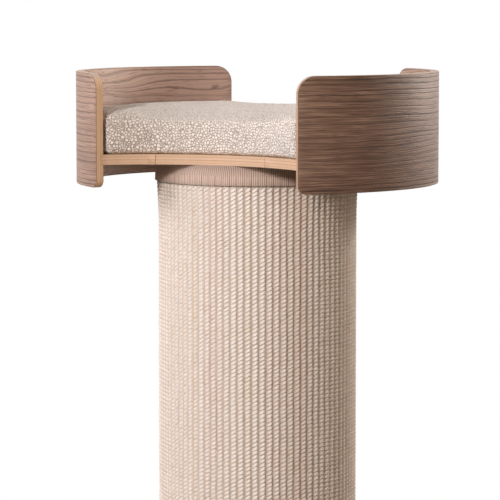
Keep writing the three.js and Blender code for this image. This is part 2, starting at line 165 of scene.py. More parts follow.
def show(tree: bpy.types.NodeTree, shader: bpy.types.Node) -> None:
    """Links a shader to the tree's output node.

    Args:
        tree: The material's node tree.
        shader: The node whose first output is the surface.
    """
    output = next(node for node in tree.nodes if node.type == "OUTPUT_MATERIAL")
    tree.links.new(shader.outputs[0], output.inputs["Surface"])


def sum_of(tree: bpy.types.NodeTree, operation: str, *values: object) -> bpy.types.NodeSocket:
    """Works out one step of arithmetic in a node tree.

    Args:
        tree: The node tree.
        operation: The Math node's operation, such as "MULTIPLY".
        values: Its one to three values, sockets or numbers.

    Returns:
        The socket with the result.
    """
    return add_node(tree, "ShaderNodeMath", {"operation": operation}, dict(enumerate(values))).outputs[0]


def place_at(tree: bpy.types.NodeTree, x: object, y: object, z: object) -> bpy.types.NodeSocket:
    """Joins three values into a vector socket.

    Args:
        tree: The node tree.
        x: The first value, a socket or a number.
        y: The second value.
        z: The third value.

    Returns:
        The vector.
    """
    return add_node(tree, "ShaderNodeCombineXYZ", None, {0: x, 1: y, 2: z}).outputs[0]


def blend_colours(tree: bpy.types.NodeTree, share: object, under: object, over: object,
                  way: str = "MIX") -> bpy.types.NodeSocket:
    """Lays one colour over another.

    Args:
        tree: The node tree.
        share: How much of the upper colour shows, a socket or a number.
        under: The lower colour, a socket or a linear colour.
        over: The upper colour.
        way: The blend type.

    Returns:
        The mixed colour.
    """
    mix = add_node(tree, "ShaderNodeMix", {"data_type": "RGBA", "blend_type": way},
                   {"Factor": share, 6: under, 7: over})
    return mix.outputs[2]


# ---------------------------------------------------------------- finishes


@dataclass(frozen=True)
class Veneer:
    """Walnut veneer with its grain round the curve, pressed on and matt lacquered.

    To the eye it is a greyed brown with long dark growth lines 8 to 10 mm apart that waver a little,
    finer lines between them, short open pores, and a soft shine where it turns away.
    """

    name: str = "walnut_veneer_matt_lacquered"
    dark: str = "#36231a"
    mid_dark: str = "#5c4233"
    middle: str = "#7e604d"
    light: str = "#9a7a66"
    # The pale tone that the inner faces and the left panel are painted toward: painted light.
    painted_light_tone: str = "#b89a8a"
    radius: float = 269 * MM
    line_spacing: float = 8 * MM
    fine_spacing: float = 3.1 * MM
    waver: float = 9 * MM
    waver_length: float = 420 * MM
    bold_width: float = 0.4
    fine_width: float = 0.5
    # These shares paint the inner faces and the left panel paler, with fainter grain lines: painted light and shine.
    inner_painted_light: float = 0.55
    inner_painted_washout: float = 0.15
    left_light: float = 0.38
    left_painted_washout: float = 0.25
    inner_leaf_shift: float = 7.9
    left_leaf_shift: float = 3.7
    relief_depth: float = 0.5 * MM
    pore_width: float = 1.1 * MM  # real ones are 0.3 mm wide, too fine to show
    pore_length: float = 26 * MM
    roughness: float = 0.5

    def grain(self, tree: bpy.types.NodeTree) -> tuple[bpy.types.NodeSocket, ...]:
        """Unrolls the curved faces into a flat sheet of veneer.

        Args:
            tree: The material's node tree.

        Returns:
            The way along the grain and the way across it, in metres, 1 on the inner face, and 1 on the left panel.
        """
        place = add_node(tree, "ShaderNodeTexCoord").outputs["Object"]
        axes = add_node(tree, "ShaderNodeSeparateXYZ", None, {0: place})
        x, y, z = axes.outputs
        reach = sum_of(tree, "SQRT", sum_of(tree, "ADD", sum_of(tree, "POWER", x, 2.0), sum_of(tree, "POWER", y, 2.0)))
        turn = sum_of(tree, "ARCTAN2", y, sum_of(tree, "ABSOLUTE", x))
        along = sum_of(tree, "MULTIPLY", turn, self.radius)
        left = sum_of(tree, "LESS_THAN", x, 0.0)
        inner = sum_of(tree, "LESS_THAN", reach, self.radius)
        # Each face of each panel is cut from another place in the sheet.
        left_shift = sum_of(tree, "MULTIPLY", left, self.left_leaf_shift)
        shift = sum_of(tree, "MULTIPLY_ADD", inner, self.inner_leaf_shift, left_shift)
        along = sum_of(tree, "ADD", along, shift)
        return along, z, inner, left

    def stretched(self, tree: bpy.types.NodeTree, along: object, across: object, length: float, width: float,
                  detail: float = 2.0, leaf: float = 0.0) -> bpy.types.NodeSocket:
        """Noise drawn out along the grain.

        Args:
            tree: The material's node tree.
            along: The way along the grain.
            across: The way across it.
            length: The noise's size along the grain.
            width: Its size across the grain.
            detail: The number of finer octaves.
            leaf: A number that sets one noise apart from another.

        Returns:
            The noise, about 0.5 on average.
        """
        place = place_at(tree, sum_of(tree, "DIVIDE", along, length), leaf, sum_of(tree, "DIVIDE", across, width))
        return add_node(tree, "ShaderNodeTexNoise", None,
                        {"Vector": place, "Scale": 1.0, "Detail": detail}).outputs[0]

    def lines(self, tree: bpy.types.NodeTree, at: object, along: object, spacing: float,
              width: float) -> bpy.types.NodeSocket:
        """Dark growth lines, each with its own strength and width, fading in and out along the grain.

        Args:
            tree: The material's node tree.
            at: The way across the lines.
            along: The way along them.
            spacing: The lines' mean distance.
            width: Their width, as a share of their distance.

        Returns:
            How dark the line is, from 0 to 1.
        """
        uneven = add_node(tree, "ShaderNodeTexNoise", {"noise_dimensions": "1D"},
                          {"W": sum_of(tree, "DIVIDE", at, spacing * 2.7), "Scale": 1.0, "Detail": 1.0}).outputs[0]
        step = sum_of(tree, "ADD", sum_of(tree, "DIVIDE", at, spacing), sum_of(tree, "MULTIPLY", uneven, 1.6))
        number = sum_of(tree, "FLOOR", step)
        strength = add_node(tree, "ShaderNodeTexWhiteNoise", {"noise_dimensions": "1D"}, {"W": number}).outputs[0]
        spread = add_node(tree, "ShaderNodeTexWhiteNoise", {"noise_dimensions": "1D"},
                          {"W": sum_of(tree, "ADD", number, 0.37)}).outputs[0]
        offset = sum_of(tree, "ABSOLUTE", sum_of(tree, "SUBTRACT", sum_of(tree, "FRACT", step), 0.5))
        reach = sum_of(tree, "MULTIPLY_ADD", spread, width * 0.5, width * 0.35)
        line = add_node(tree, "ShaderNodeMapRange", {"interpolation_type": "SMOOTHSTEP"},
                        {0: offset, 1: 0.0, 2: reach, 3: 1.0, 4: 0.0}).outputs[0]
        fade = self.stretched(tree, along, sum_of(tree, "MULTIPLY", number, 3.3), 130 * MM, 1.0, 1.0, 2.0)
        fade = add_node(tree, "ShaderNodeMapRange", None, {0: fade, 1: 0.35, 2: 0.6, 3: 0.55, 4: 1.0}).outputs[0]
        firm = sum_of(tree, "MULTIPLY_ADD", strength, 0.5, 0.5)
        return sum_of(tree, "MULTIPLY", sum_of(tree, "MULTIPLY", line, firm), fade)

    def make(self) -> bpy.types.Material:
        """Builds the material."""
        material, tree = new_surface(self.name)
        along, across, inner, left = self.grain(tree)
        bend = self.stretched(tree, along, across, self.waver_length, 70 * MM)
        # Nested long ovals, as where the cut runs flat through the growth rings.
        heart = place_at(tree, sum_of(tree, "DIVIDE", along, 300 * MM), 0.0, sum_of(tree, "DIVIDE", across, 85 * MM))
        ovals = add_node(tree, "ShaderNodeTexVoronoi", {"feature": "SMOOTH_F1"},
                         {"Vector": heart, "Scale": 1.0, "Smoothness": 0.5, "Randomness": 1.0}).outputs["Distance"]
        near = add_node(tree, "ShaderNodeMapRange", {"interpolation_type": "SMOOTHSTEP"},
                        {0: ovals, 1: 0.1, 2: 0.55, 3: 1.0, 4: 0.0}).outputs[0]
        flat_cut = sum_of(tree, "MULTIPLY_ADD", inner, 50 * MM, 12 * MM)
        cathedral = sum_of(tree, "MULTIPLY", sum_of(tree, "MULTIPLY", ovals, flat_cut), near)
        shake = self.stretched(tree, along, across, 60 * MM, 22 * MM, 3.0, 1.0)
        tremor = self.stretched(tree, along, across, 16 * MM, 7 * MM, 2.0, 5.0)
        at = sum_of(tree, "ADD", sum_of(tree, "MULTIPLY_ADD", bend, self.waver, across), cathedral)
        at = sum_of(tree, "MULTIPLY_ADD", shake, 2.4 * MM, at)
        at = sum_of(tree, "MULTIPLY_ADD", tremor, 1.4 * MM, at)
        bold = self.lines(tree, at, along, self.line_spacing, self.bold_width)
        fine = self.lines(tree, at, along, self.fine_spacing, self.fine_width)
        fibres = self.stretched(tree, along, at, 60 * MM, 1.5 * MM, 2.0, 3.0)
        pores = self.stretched(tree, along, at, self.pore_length, self.pore_width, 1.0, 4.0)
        pores = add_node(tree, "ShaderNodeMapRange", None, {0: pores, 1: 0.3, 2: 0.4, 3: 1.0, 4: 0.0}).outputs[0]
        board = self.stretched(tree, along, across, 260 * MM, 34 * MM, 2.0, 9.0)
        tone = add_node(tree, "ShaderNodeValToRGB", {"stops": (
            (0.25, self.mid_dark), (0.5, self.middle), (0.72, self.light))},
            {0: sum_of(tree, "MULTIPLY_ADD", sum_of(tree, "SUBTRACT", fibres, 0.5), 1.4,
                       sum_of(tree, "MULTIPLY_ADD", board, 0.6, 0.2))})
        # The inner faces and the left panel are painted paler, with fainter grain lines: painted light and shine that
        # stand in for the light falling on them.
        paler = sum_of(tree, "MULTIPLY_ADD", inner, self.inner_painted_light, sum_of(tree, "MULTIPLY", left, self.left_light))
        leaf = blend_colours(tree, paler, tone.outputs[0], linear(self.painted_light_tone))
        calm = sum_of(tree, "MULTIPLY_ADD", inner, self.inner_painted_washout, sum_of(tree, "MULTIPLY", left, self.left_painted_washout))
        firm = sum_of(tree, "SUBTRACT", 1.0, calm)
        fine, bold = [sum_of(tree, "MULTIPLY", line, firm) for line in (fine, bold)]
        lined = blend_colours(tree, sum_of(tree, "MULTIPLY", fine, 0.7), leaf, linear(self.mid_dark))
        lined = blend_colours(tree, bold, lined, linear(self.dark))
        colour = blend_colours(tree, sum_of(tree, "MULTIPLY", pores, 0.5), lined, linear(self.dark))
        depth = sum_of(tree, "MULTIPLY_ADD", pores, 0.6, sum_of(tree, "MULTIPLY_ADD", fine, 0.3, bold))
        height = sum_of(tree, "SUBTRACT", 1.0, depth)
        bump = add_node(tree, "ShaderNodeBump", None,
                        {"Strength": 0.6, "Distance": self.relief_depth, "Height": height})
        shine = sum_of(tree, "MULTIPLY_ADD", bold, 0.15, self.roughness)
        surface = add_node(tree, "ShaderNodeBsdfPrincipled", None, {
            "Base Color": colour, "Roughness": shine, "Normal": bump.outputs[0], "IOR": 1.5,
            "Specular IOR Level": 0.35})
        show(tree, surface)
        return material


@dataclass(frozen=True)
class PlyEdge:
    """Sanded and oiled plywood edge, its plies cut by turns along and across their grain.

    To the eye it is honey coloured, with a paler and a browner line in turn and thin glue lines.
    """

    name: str
    stack: PlyStack
    low: float
    thickness: float
    plies: int
    along_grain: str = "#d4b497"
    end_grain: str = "#bc9574"
    glue: str = "#8f6446"
    face: str = "#e6c09f"
    face_share: float = 0.0
    # The paler, greyer tone that faces looking up are painted toward: a painted sheen.
    painted_sheen_tone: str = "#c4b2a4"
    painted_sheen_share: float = 0.0
    roughness: float = 0.55

    def make(self) -> bpy.types.Material:
        """Builds the material."""
        material, tree = new_surface(self.name)
        place = add_node(tree, "ShaderNodeTexCoord").outputs["Object"]
        x, y, z = add_node(tree, "ShaderNodeSeparateXYZ", None, {0: place}).outputs
        reach = sum_of(tree, "SQRT", sum_of(tree, "ADD", sum_of(tree, "POWER", x, 2.0), sum_of(tree, "POWER", y, 2.0)))
        through = z if self.stack is PlyStack.UPRIGHT else reach
        share = sum_of(tree, "DIVIDE", sum_of(tree, "SUBTRACT", through, self.low), self.thickness)
        wobble = add_node(tree, "ShaderNodeTexNoise", None, {"Vector": place, "Scale": 14.0, "Detail": 1.0}).outputs[0]
        step = sum_of(tree, "MULTIPLY", share, float(self.plies))
        step = sum_of(tree, "MULTIPLY_ADD", wobble, 0.22, step)
        turn_about = sum_of(tree, "PINGPONG", step, 1.0)
        layer = add_node(tree, "ShaderNodeTexWhiteNoise", {"noise_dimensions": "1D"},
                         {"W": sum_of(tree, "FLOOR", step)}).outputs[0]
        within = sum_of(tree, "PINGPONG", sum_of(tree, "ADD", step, 0.5), 0.5)
        across = sum_of(tree, "GREATER_THAN", sum_of(tree, "MODULO", step, 2.0), 1.0)
        specks = add_node(tree, "ShaderNodeTexNoise", None, {"Vector": place, "Scale": 520.0, "Detail": 2.0}).outputs[0]
        streaks = add_node(tree, "ShaderNodeTexNoise", None,
                           {"Vector": place, "Scale": 90.0, "Detail": 3.0, "Distortion": 0.4}).outputs[0]
        dark_share = sum_of(tree, "MULTIPLY_ADD", across, 0.55, sum_of(tree, "MULTIPLY", layer, 0.35))
        dark_share = sum_of(tree, "MULTIPLY_ADD", sum_of(tree, "SUBTRACT", specks, 0.5), 0.5, dark_share)
        dark_share = sum_of(tree, "MULTIPLY_ADD", sum_of(tree, "SUBTRACT", streaks, 0.5), 0.5, dark_share)
        wood = blend_colours(tree, dark_share, linear(self.along_grain), linear(self.end_grain))
        line = add_node(tree, "ShaderNodeMapRange", None, {0: within, 1: 0.0, 2: 0.14, 3: 0.6, 4: 0.0}).outputs[0]
        glued = blend_colours(tree, line, wood, linear(self.glue))
        if self.face_share > 0:
            rim = sum_of(tree, "PINGPONG", share, 0.5)
            outer = sum_of(tree, "LESS_THAN", rim, self.face_share)
            glued = blend_colours(tree, outer, glued, linear(self.face))
        # Faces that look up are painted paler and greyer here: a painted sheen.
        if self.painted_sheen_share > 0:
            facing = add_node(tree, "ShaderNodeTexCoord").outputs["Normal"]
            up = add_node(tree, "ShaderNodeSeparateXYZ", None, {0: facing}).outputs[2]
            upper = add_node(tree, "ShaderNodeMapRange", None,
                             {0: up, 1: 0.5, 2: 0.9, 3: 0.0, 4: self.painted_sheen_share}).outputs[0]
            glued = blend_colours(tree, upper, glued, linear(self.painted_sheen_tone))
        height = sum_of(tree, "SUBTRACT", sum_of(tree, "MULTIPLY", turn_about, 0.3), specks)
        bump = add_node(tree, "ShaderNodeBump", None, {"Strength": 0.3, "Distance": 0.15 * MM, "Height": height})
        surface = add_node(tree, "ShaderNodeBsdfPrincipled", None, {
            "Base Color": glued, "Roughness": self.roughness, "Normal": bump.outputs[0],
            "IOR": 1.5, "Specular IOR Level": 0.35})
        show(tree, surface)
        return material


@dataclass(frozen=True)
class BirchFace:
    """Rotary-peeled birch plywood, sanded and clear lacquered.

    To the eye it is pale and even, with faint broad flames along the grain and tiny brown flecks.
    """

    name: str = "birch_plywood_face_clear_lacquered"
    pale: str = "#e3c6a6"
    flame: str = "#d3ae88"
    fleck: str = "#a87c54"
    flame_length: float = 260 * MM
    flame_width: float = 26 * MM
    fleck_length: float = 5 * MM
    roughness: float = 0.5

    def make(self) -> bpy.types.Material:
        """Builds the material."""
        material, tree = new_surface(self.name)
        place = add_node(tree, "ShaderNodeTexCoord").outputs["Object"]
        x, y, z = add_node(tree, "ShaderNodeSeparateXYZ", None, {0: place}).outputs
        flame_place = place_at(tree, sum_of(tree, "DIVIDE", x, self.flame_width),
                               sum_of(tree, "DIVIDE", y, self.flame_length), z)
        flames = add_node(tree, "ShaderNodeTexNoise", None,
                          {"Vector": flame_place, "Scale": 1.0, "Detail": 4.0, "Distortion": 1.1}).outputs[0]
        fleck_place = place_at(tree, sum_of(tree, "DIVIDE", x, 0.7 * MM),
                               sum_of(tree, "DIVIDE", y, self.fleck_length), z)
        flecks = add_node(tree, "ShaderNodeTexNoise", None,
                          {"Vector": fleck_place, "Scale": 1.0, "Detail": 1.0}).outputs[0]
        shown = add_node(tree, "ShaderNodeMapRange", None, {0: flecks, 1: 0.66, 2: 0.78, 3: 0.0, 4: 0.7}).outputs[0]
        wood = add_node(tree, "ShaderNodeValToRGB", {"stops": ((0.35, self.flame), (0.62, self.pale))}, {0: flames})
        colour = blend_colours(tree, shown, wood.outputs[0], linear(self.fleck))
        bump = add_node(tree, "ShaderNodeBump", None, {"Strength": 0.15, "Distance": 0.1 * MM, "Height": flecks})
        surface = add_node(tree, "ShaderNodeBsdfPrincipled", None, {
            "Base Color": colour, "Roughness": self.roughness, "Normal": bump.outputs[0], "IOR": 1.5})
        show(tree, surface)
        return material


@dataclass(frozen=True)
class Sisal:
    """Sisal yarn woven into a ribbed mat.

    To the eye it is dry and pale, straw on the ribs' crests, with one yarn a little greyer, pinker or yellower than the
    next and a fuzz of fine ends. Its brown in the grooves, in the gaps between yarns and on the ribs' left flanks is
    painted shade.
    """

    name: str = "sisal_woven_in_ribs"
    crest: str = "#e9dfd5"
    flank: str = "#d6c2b0"
    # The groove colour is the brown of painted shade in the grooves and the gaps between yarns.
    groove: str = "#6a4c34"
    rosy: str = "#f0d8cc"
    straw: str = "#eadfc4"
    fibre: float = 0.9 * MM  # a sisal fibre is 0.25 mm thick, too fine to show
    painted_groove_shade: float = 0.46
    painted_gap_shade: float = 0.5
    bead_share: float = 0.55
    relief_depth: float = 2.2 * MM
    roughness: float = 0.95

    def make(self) -> bpy.types.Material:
        """Builds the material."""
        material, tree = new_surface(self.name)
        place = add_node(tree, "ShaderNodeTexCoord").outputs["Object"]
        ribs, yarns, tint, strength = [
            add_node(tree, "ShaderNodeAttribute", {"attribute_name": name}).outputs["Fac"]
            for name in ("ribs", "yarns", "tint", "strength")]
        hairs = add_node(tree, "ShaderNodeTexNoise", None,
                         {"Vector": place, "Scale": 1 / self.fibre, "Detail": 3.0, "Roughness": 0.6}).outputs[0]
        across = sum_of(tree, "FRACT", ribs)
        to_groove = sum_of(tree, "PINGPONG", ribs, 0.5)
        to_gap = sum_of(tree, "PINGPONG", yarns, 0.5)
        # The grooves, the gaps between yarns and the ribs' left flanks are painted darker below: painted shade.
        groove = add_node(tree, "ShaderNodeMapRange", {"interpolation_type": "SMOOTHSTEP"},
                          {0: to_groove, 1: 0.0, 2: 0.2, 3: 1.0, 4: 0.0}).outputs[0]
        gap = add_node(tree, "ShaderNodeMapRange", {"interpolation_type": "SMOOTHSTEP"},
                       {0: to_gap, 1: 0.05, 2: 0.3, 3: 1.0, 4: 0.0}).outputs[0]
        left = add_node(tree, "ShaderNodeMapRange", {"interpolation_type": "SMOOTHSTEP"},
                        {0: across, 1: 0.36, 2: 0.78, 3: 1.0, 4: 0.3}).outputs[0]
        dash = sum_of(tree, "MULTIPLY", sum_of(tree, "MULTIPLY", gap, left), strength)
        flank_shade = add_node(tree, "ShaderNodeMapRange", {"interpolation_type": "SMOOTHSTEP"},
                               {0: across, 1: 0.28, 2: 0.6, 3: 0.15, 4: 0.0}).outputs[0]
        deep = sum_of(tree, "MAXIMUM", sum_of(tree, "MULTIPLY", groove, self.painted_groove_shade),
                      sum_of(tree, "MULTIPLY", dash, self.painted_gap_shade))
        deep = sum_of(tree, "MAXIMUM", deep, flank_shade)
        raised = sum_of(tree, "SUBTRACT", 1.0, deep)
        uneven = sum_of(tree, "MULTIPLY_ADD", sum_of(tree, "SUBTRACT", hairs, 0.5), 0.4, raised)
        tone = add_node(tree, "ShaderNodeValToRGB", {"stops": (
            (0.12, self.groove), (0.55, self.flank), (0.92, self.crest))}, {0: uneven})
        rosier = add_node(tree, "ShaderNodeMapRange", None, {0: tint, 1: 0.55, 2: 1.0, 3: 0.0, 4: 0.45}).outputs[0]
        yellower = add_node(tree, "ShaderNodeMapRange", None, {0: tint, 1: 0.45, 2: 0.0, 3: 0.0, 4: 0.45}).outputs[0]
        tinted = blend_colours(tree, rosier, tone.outputs[0], linear(self.rosy), "MULTIPLY")
        tinted = blend_colours(tree, yellower, tinted, linear(self.straw), "MULTIPLY")
        sunk = sum_of(tree, "MAXIMUM", deep, sum_of(tree, "MULTIPLY", gap, self.bead_share))
        height = sum_of(tree, "MULTIPLY_ADD", hairs, 0.2, sum_of(tree, "SUBTRACT", 1.0, sunk))
        bump = add_node(tree, "ShaderNodeBump", None,
                        {"Strength": 1.0, "Distance": self.relief_depth, "Height": height})
        surface = add_node(tree, "ShaderNodeBsdfPrincipled", None, {
            "Base Color": tinted, "Roughness": self.roughness, "Normal": bump.outputs[0], "IOR": 1.5,
            "Specular IOR Level": 0.15, "Sheen Weight": 0.3, "Sheen Roughness": 0.5,
            "Sheen Tint": linear("#fff8f2")})
        show(tree, surface)
        return material


@dataclass(frozen=True)
class RibbedCloth:
    """Taupe cotton webbing, woven with fine raised ribs.

    To the eye it is a flat greyed rose-brown with a short soft nap. It is painted darker between its ribs, and on the
    bindings where the sleeve's ribs press through: painted shade.
    """

    name: str
    crest: str = "#c7af9f"
    # The groove colour is the painted shade between the ribs.
    groove: str = "#7c6152"
    thread: float = 1.2 * MM  # its threads are 0.5 mm thick, too fine to show
    roughness: float = 0.9

    def make(self) -> bpy.types.Material:
        """Builds the material."""
        material, tree = new_surface(self.name)
        place = add_node(tree, "ShaderNodeTexCoord").outputs["Object"]
        relief = add_node(tree, "ShaderNodeAttribute", {"attribute_name": "relief"}).outputs["Fac"]
        threads = add_node(tree, "ShaderNodeTexNoise", None,
                           {"Vector": place, "Scale": 1 / self.thread, "Detail": 2.0}).outputs[0]
        height = sum_of(tree, "MULTIPLY_ADD", sum_of(tree, "SUBTRACT", threads, 0.5), 0.5, relief)
        tone = add_node(tree, "ShaderNodeValToRGB", {"stops": ((0.1, self.groove), (0.75, self.crest))}, {0: height})
        bump = add_node(tree, "ShaderNodeBump", None, {"Strength": 0.5, "Distance": 0.3 * MM, "Height": threads})
        surface = add_node(tree, "ShaderNodeBsdfPrincipled", None, {
            "Base Color": tone.outputs[0], "Roughness": self.roughness, "Normal": bump.outputs[0],
            "Specular IOR Level": 0.15, "Sheen Weight": 0.25, "Sheen Roughness": 0.5})
        show(tree, surface)
        return material


@dataclass(frozen=True)
class Boucle:
    """Boucle cloth, woven of looped oatmeal yarn with a darker ground that shows between the loops, darkened there as
    painted shade too.

    To the eye it is a field of small pale knots with brown-grey specks, and fuzzy where it turns away.
    """

    name: str = "boucle_looped_oatmeal"
    loop_colour: str = "#f6e9dd"
    yarn_colour: str = "#dcd2c9"
    # The ground's colour also carries painted shade in the gaps between the loops.
    ground: str = "#a79484"
    loop: float = 4.1 * MM
    gap_width: float = 0.2
    jumble: float = 2.4 * MM
    relief_depth: float = 1.3 * MM
    top_painted_light: float = 0.3
    roughness: float = 0.95

    def make(self) -> bpy.types.Material:
        """Builds the material."""
        material, tree = new_surface(self.name)
        place = add_node(tree, "ShaderNodeTexCoord").outputs["Object"]
        relief = add_node(tree, "ShaderNodeAttribute", {"attribute_name": "relief"}).outputs["Fac"]
        jumble = add_node(tree, "ShaderNodeTexNoise", None, {"Vector": place, "Scale": 160.0, "Detail": 1.0})
        moved = add_node(tree, "ShaderNodeVectorMath", {"operation": "MULTIPLY_ADD"},
                         {0: jumble.outputs["Color"], 1: (self.jumble,) * 3, 2: place}).outputs[0]
        loops = add_node(tree, "ShaderNodeTexVoronoi", None,
                         {"Vector": moved, "Scale": 1 / self.loop, "Randomness": 0.85})
        gaps = add_node(tree, "ShaderNodeTexVoronoi", {"feature": "DISTANCE_TO_EDGE"},
                        {"Vector": moved, "Scale": 1 / self.loop, "Randomness": 0.85})
        knot = add_node(tree, "ShaderNodeMapRange", {"interpolation_type": "SMOOTHSTEP"},
                        {0: gaps.outputs["Distance"], 1: 0.0, 2: self.gap_width, 3: 0.0, 4: 1.0}).outputs[0]
        height = sum_of(tree, "MULTIPLY_ADD", relief, 0.15, sum_of(tree, "MULTIPLY", knot, 0.85))
        tone = add_node(tree, "ShaderNodeValToRGB", {"stops": (
            (0.05, self.ground), (0.35, self.yarn_colour), (0.7, self.loop_colour))}, {0: height})
        shade = add_node(tree, "ShaderNodeSeparateColor", None, {0: loops.outputs["Color"]}).outputs[0]
        colour = blend_colours(tree, sum_of(tree, "MULTIPLY", shade, 0.25), tone.outputs[0], linear(self.yarn_colour))
        # The dark gaps between the loops are partly the ground's colour and partly painted shade. On what faces up,
        # where light from above fills them and real loops seen low across the top hide them, and flat colour and bump
        # can't, their contrast is turned down: painted light on the top. It is a stand-in, not wear.
        facing = add_node(tree, "ShaderNodeTexCoord").outputs["Normal"]
        up = add_node(tree, "ShaderNodeSeparateXYZ", None, {0: facing}).outputs[2]
        upper = add_node(tree, "ShaderNodeMapRange", None,
                         {0: up, 1: 0.5, 2: 0.9, 3: 0.0, 4: self.top_painted_light}).outputs[0]
        colour = blend_colours(tree, upper, colour, linear(self.yarn_colour))
        bump = add_node(tree, "ShaderNodeBump", None, {"Strength": 1.0, "Distance": self.relief_depth, "Height": knot})
        surface = add_node(tree, "ShaderNodeBsdfPrincipled", None, {
            "Base Color": colour, "Roughness": self.roughness, "Normal": bump.outputs[0],
            "Specular IOR Level": 0.1, "Sheen Weight": 0.45, "Sheen Roughness": 0.45})
        show(tree, surface)
        return material


@dataclass(frozen=True)
class PlainFinish:
    """A finish of one colour with a fine grain of its own, such as powder coat, zinc, felt or board.

    To the eye powder coat is matt with a fine orange peel, zinc a bright cool metal with faint
    cloudiness, felt dark and fibrous, and wound board grey-brown with a paper tooth.
    """

    name: str
    colour: str
    shade: str
    grain: float
    depth: float
    roughness: float
    metallic: float = 0.0
    sheen: float = 0.0

    def make(self) -> bpy.types.Material:
        """Builds the material."""
        material, tree = new_surface(self.name)
        place = add_node(tree, "ShaderNodeTexCoord").outputs["Object"]
        fine = add_node(tree, "ShaderNodeTexNoise", None,
                        {"Vector": place, "Scale": 1 / self.grain, "Detail": 3.0}).outputs[0]
        broad = add_node(tree, "ShaderNodeTexNoise", None, {"Vector": place, "Scale": 9.0, "Detail": 2.0}).outputs[0]
        worn = sum_of(tree, "MULTIPLY_ADD", fine, 0.5, sum_of(tree, "MULTIPLY", broad, 0.5))
        tone = add_node(tree, "ShaderNodeValToRGB", {"stops": ((0.3, self.shade), (0.65, self.colour))}, {0: worn})
        bump = add_node(tree, "ShaderNodeBump", None, {"Strength": 0.4, "Distance": self.depth, "Height": fine})
        shine = sum_of(tree, "MULTIPLY_ADD", broad, 0.15, self.roughness - 0.07)
        surface = add_node(tree, "ShaderNodeBsdfPrincipled", None, {
            "Base Color": tone.outputs[0], "Roughness": shine, "Normal": bump.outputs[0],
            "Metallic": self.metallic, "Sheen Weight": self.sheen})
        show(tree, surface)
        return material


# ---------------------------------------------------------------- mesh helpers


def skin(name: str, rings: np.ndarray, materials: Sequence[bpy.types.Material],
         finish_of: Callable[[int, int], int] | None = None, wrap: bool = False,
         sharp: float = 40.0, attributes: dict[str, np.ndarray] | None = None) -> bpy.types.Object:
    """Makes a closed piece by drawing a skin over equal closed rings of points.

    Args:
        name: The piece's name.
        rings: The points, as an array of rings by points by 3.
        materials: The piece's materials.
        finish_of: Gives the material's number for the face after a ring and a point.
        wrap: True joins the last ring to the first, and False closes both ends with a flat face.
        sharp: The angle in degrees above which an edge stays sharp.
        attributes: Named values for each point, as arrays of rings by points.

    Returns:
        The piece's object, linked to the scene.
    """
    ring_count, point_count, _ = rings.shape
    spans = ring_count if wrap else ring_count - 1
    faces = []
    numbers = []
    for i in range(spans):
        low = i * point_count
        high = (i + 1) % ring_count * point_count
        for j in range(point_count):
            k = (j + 1) % point_count
            faces.append((low + j, low + k, high + k, high + j))
            numbers.append(finish_of(i, j) if finish_of else 0)
    if not wrap:
        faces.append(tuple(range(point_count - 1, -1, -1)))
        faces.append(tuple(range((ring_count - 1) * point_count, ring_count * point_count)))
        numbers += [finish_of(0, -1) if finish_of else 0] * 2
    mesh = bpy.data.meshes.new(name)
    mesh.from_pydata(rings.reshape(-1, 3).tolist(), [], faces)
    mesh.polygons.foreach_set("material_index", numbers)
    for key, values in (attributes or {}).items():
        mesh.attributes.new(key, "FLOAT", "POINT").data.foreach_set("value", values.ravel().astype(np.float32))
    return finish_mesh(name, mesh, materials, sharp)


def finish_mesh(name: str, mesh: bpy.types.Mesh, materials: Sequence[bpy.types.Material],
                sharp: float) -> bpy.types.Object:
    """Turns a mesh's faces outward, shades it and links it to the scene.

    Args:
        name: The piece's name.
        mesh: A closed mesh.
        materials: The piece's materials.
        sharp: The angle in degrees above which an edge stays sharp.

    Returns:
        The piece's object.
    """
    work = bmesh.new()
    work.from_mesh(mesh)
    bmesh.ops.recalc_face_normals(work, faces=work.faces)
    work.to_mesh(mesh)
    work.free()
    mesh.polygons.foreach_set("use_smooth", [True] * len(mesh.polygons))
    mesh.set_sharp_from_angle(angle=math.radians(sharp))
    for material in materials:
        mesh.materials.append(material)
    piece = bpy.data.objects.new(name, mesh)
    bpy.context.scene.collection.objects.link(piece)
    return piece


def revolved(profile: Sequence[tuple[float, float]], columns: int,
             reach: Callable[[np.ndarray, float, float], np.ndarray] | None = None) -> np.ndarray:
    """Turns a closed profile about the post's axis.

    Args:
        profile: The profile's (radius, height) points.
        columns: The number of steps in a full turn.
        reach: Gives the radius at each angle for a profile point's radius and height.

    Returns:
        One ring of profile points per step, as steps by points by 3.
    """
    angles = np.arange(columns) * 2 * math.pi / columns
    rings = np.empty((columns, len(profile), 3))
    for j, (radius, height) in enumerate(profile):
        radii = reach(angles, radius, height) if reach else np.full(columns, radius)
        rings[:, j] = np.stack([radii * np.cos(angles), radii * np.sin(angles), np.full(columns, height)], 1)
    return rings


def arc(centre: tuple[float, float], radius: float, start: float, end: float, steps: int) -> list[tuple[float, float]]:
    """Points on an arc.

    Args:
        centre: The arc's centre.
        radius: Its radius.
        start: The angle it starts at, in radians.
        end: The angle it ends at.
        steps: The number of steps.

    Returns:
        The steps + 1 points.
    """
    turns = np.linspace(start, end, steps + 1)
    return [(centre[0] + radius * math.cos(t), centre[1] + radius * math.sin(t)) for t in turns]


def drawn_in(outline: np.ndarray, inset: float) -> np.ndarray:
    """Moves an anticlockwise outline's points inward.

    Args:
        outline: The points, as an array of points by 2.
        inset: How far they move.

    Returns:
        The moved points.
    """
    before = outline - np.roll(outline, 1, 0)
    after = np.roll(outline, -1, 0) - outline
    before /= np.linalg.norm(before, axis=1, keepdims=True)
    after /= np.linalg.norm(after, axis=1, keepdims=True)
    normal_before = np.stack([-before[:, 1], before[:, 0]], 1)
    normal_after = np.stack([-after[:, 1], after[:, 0]], 1)
    middle = normal_before + normal_after
    stretch = (middle * normal_before).sum(1, keepdims=True)
    return outline + middle * inset / np.maximum(stretch, 0.5)


# ---------------------------------------------------------------- the nest's plan


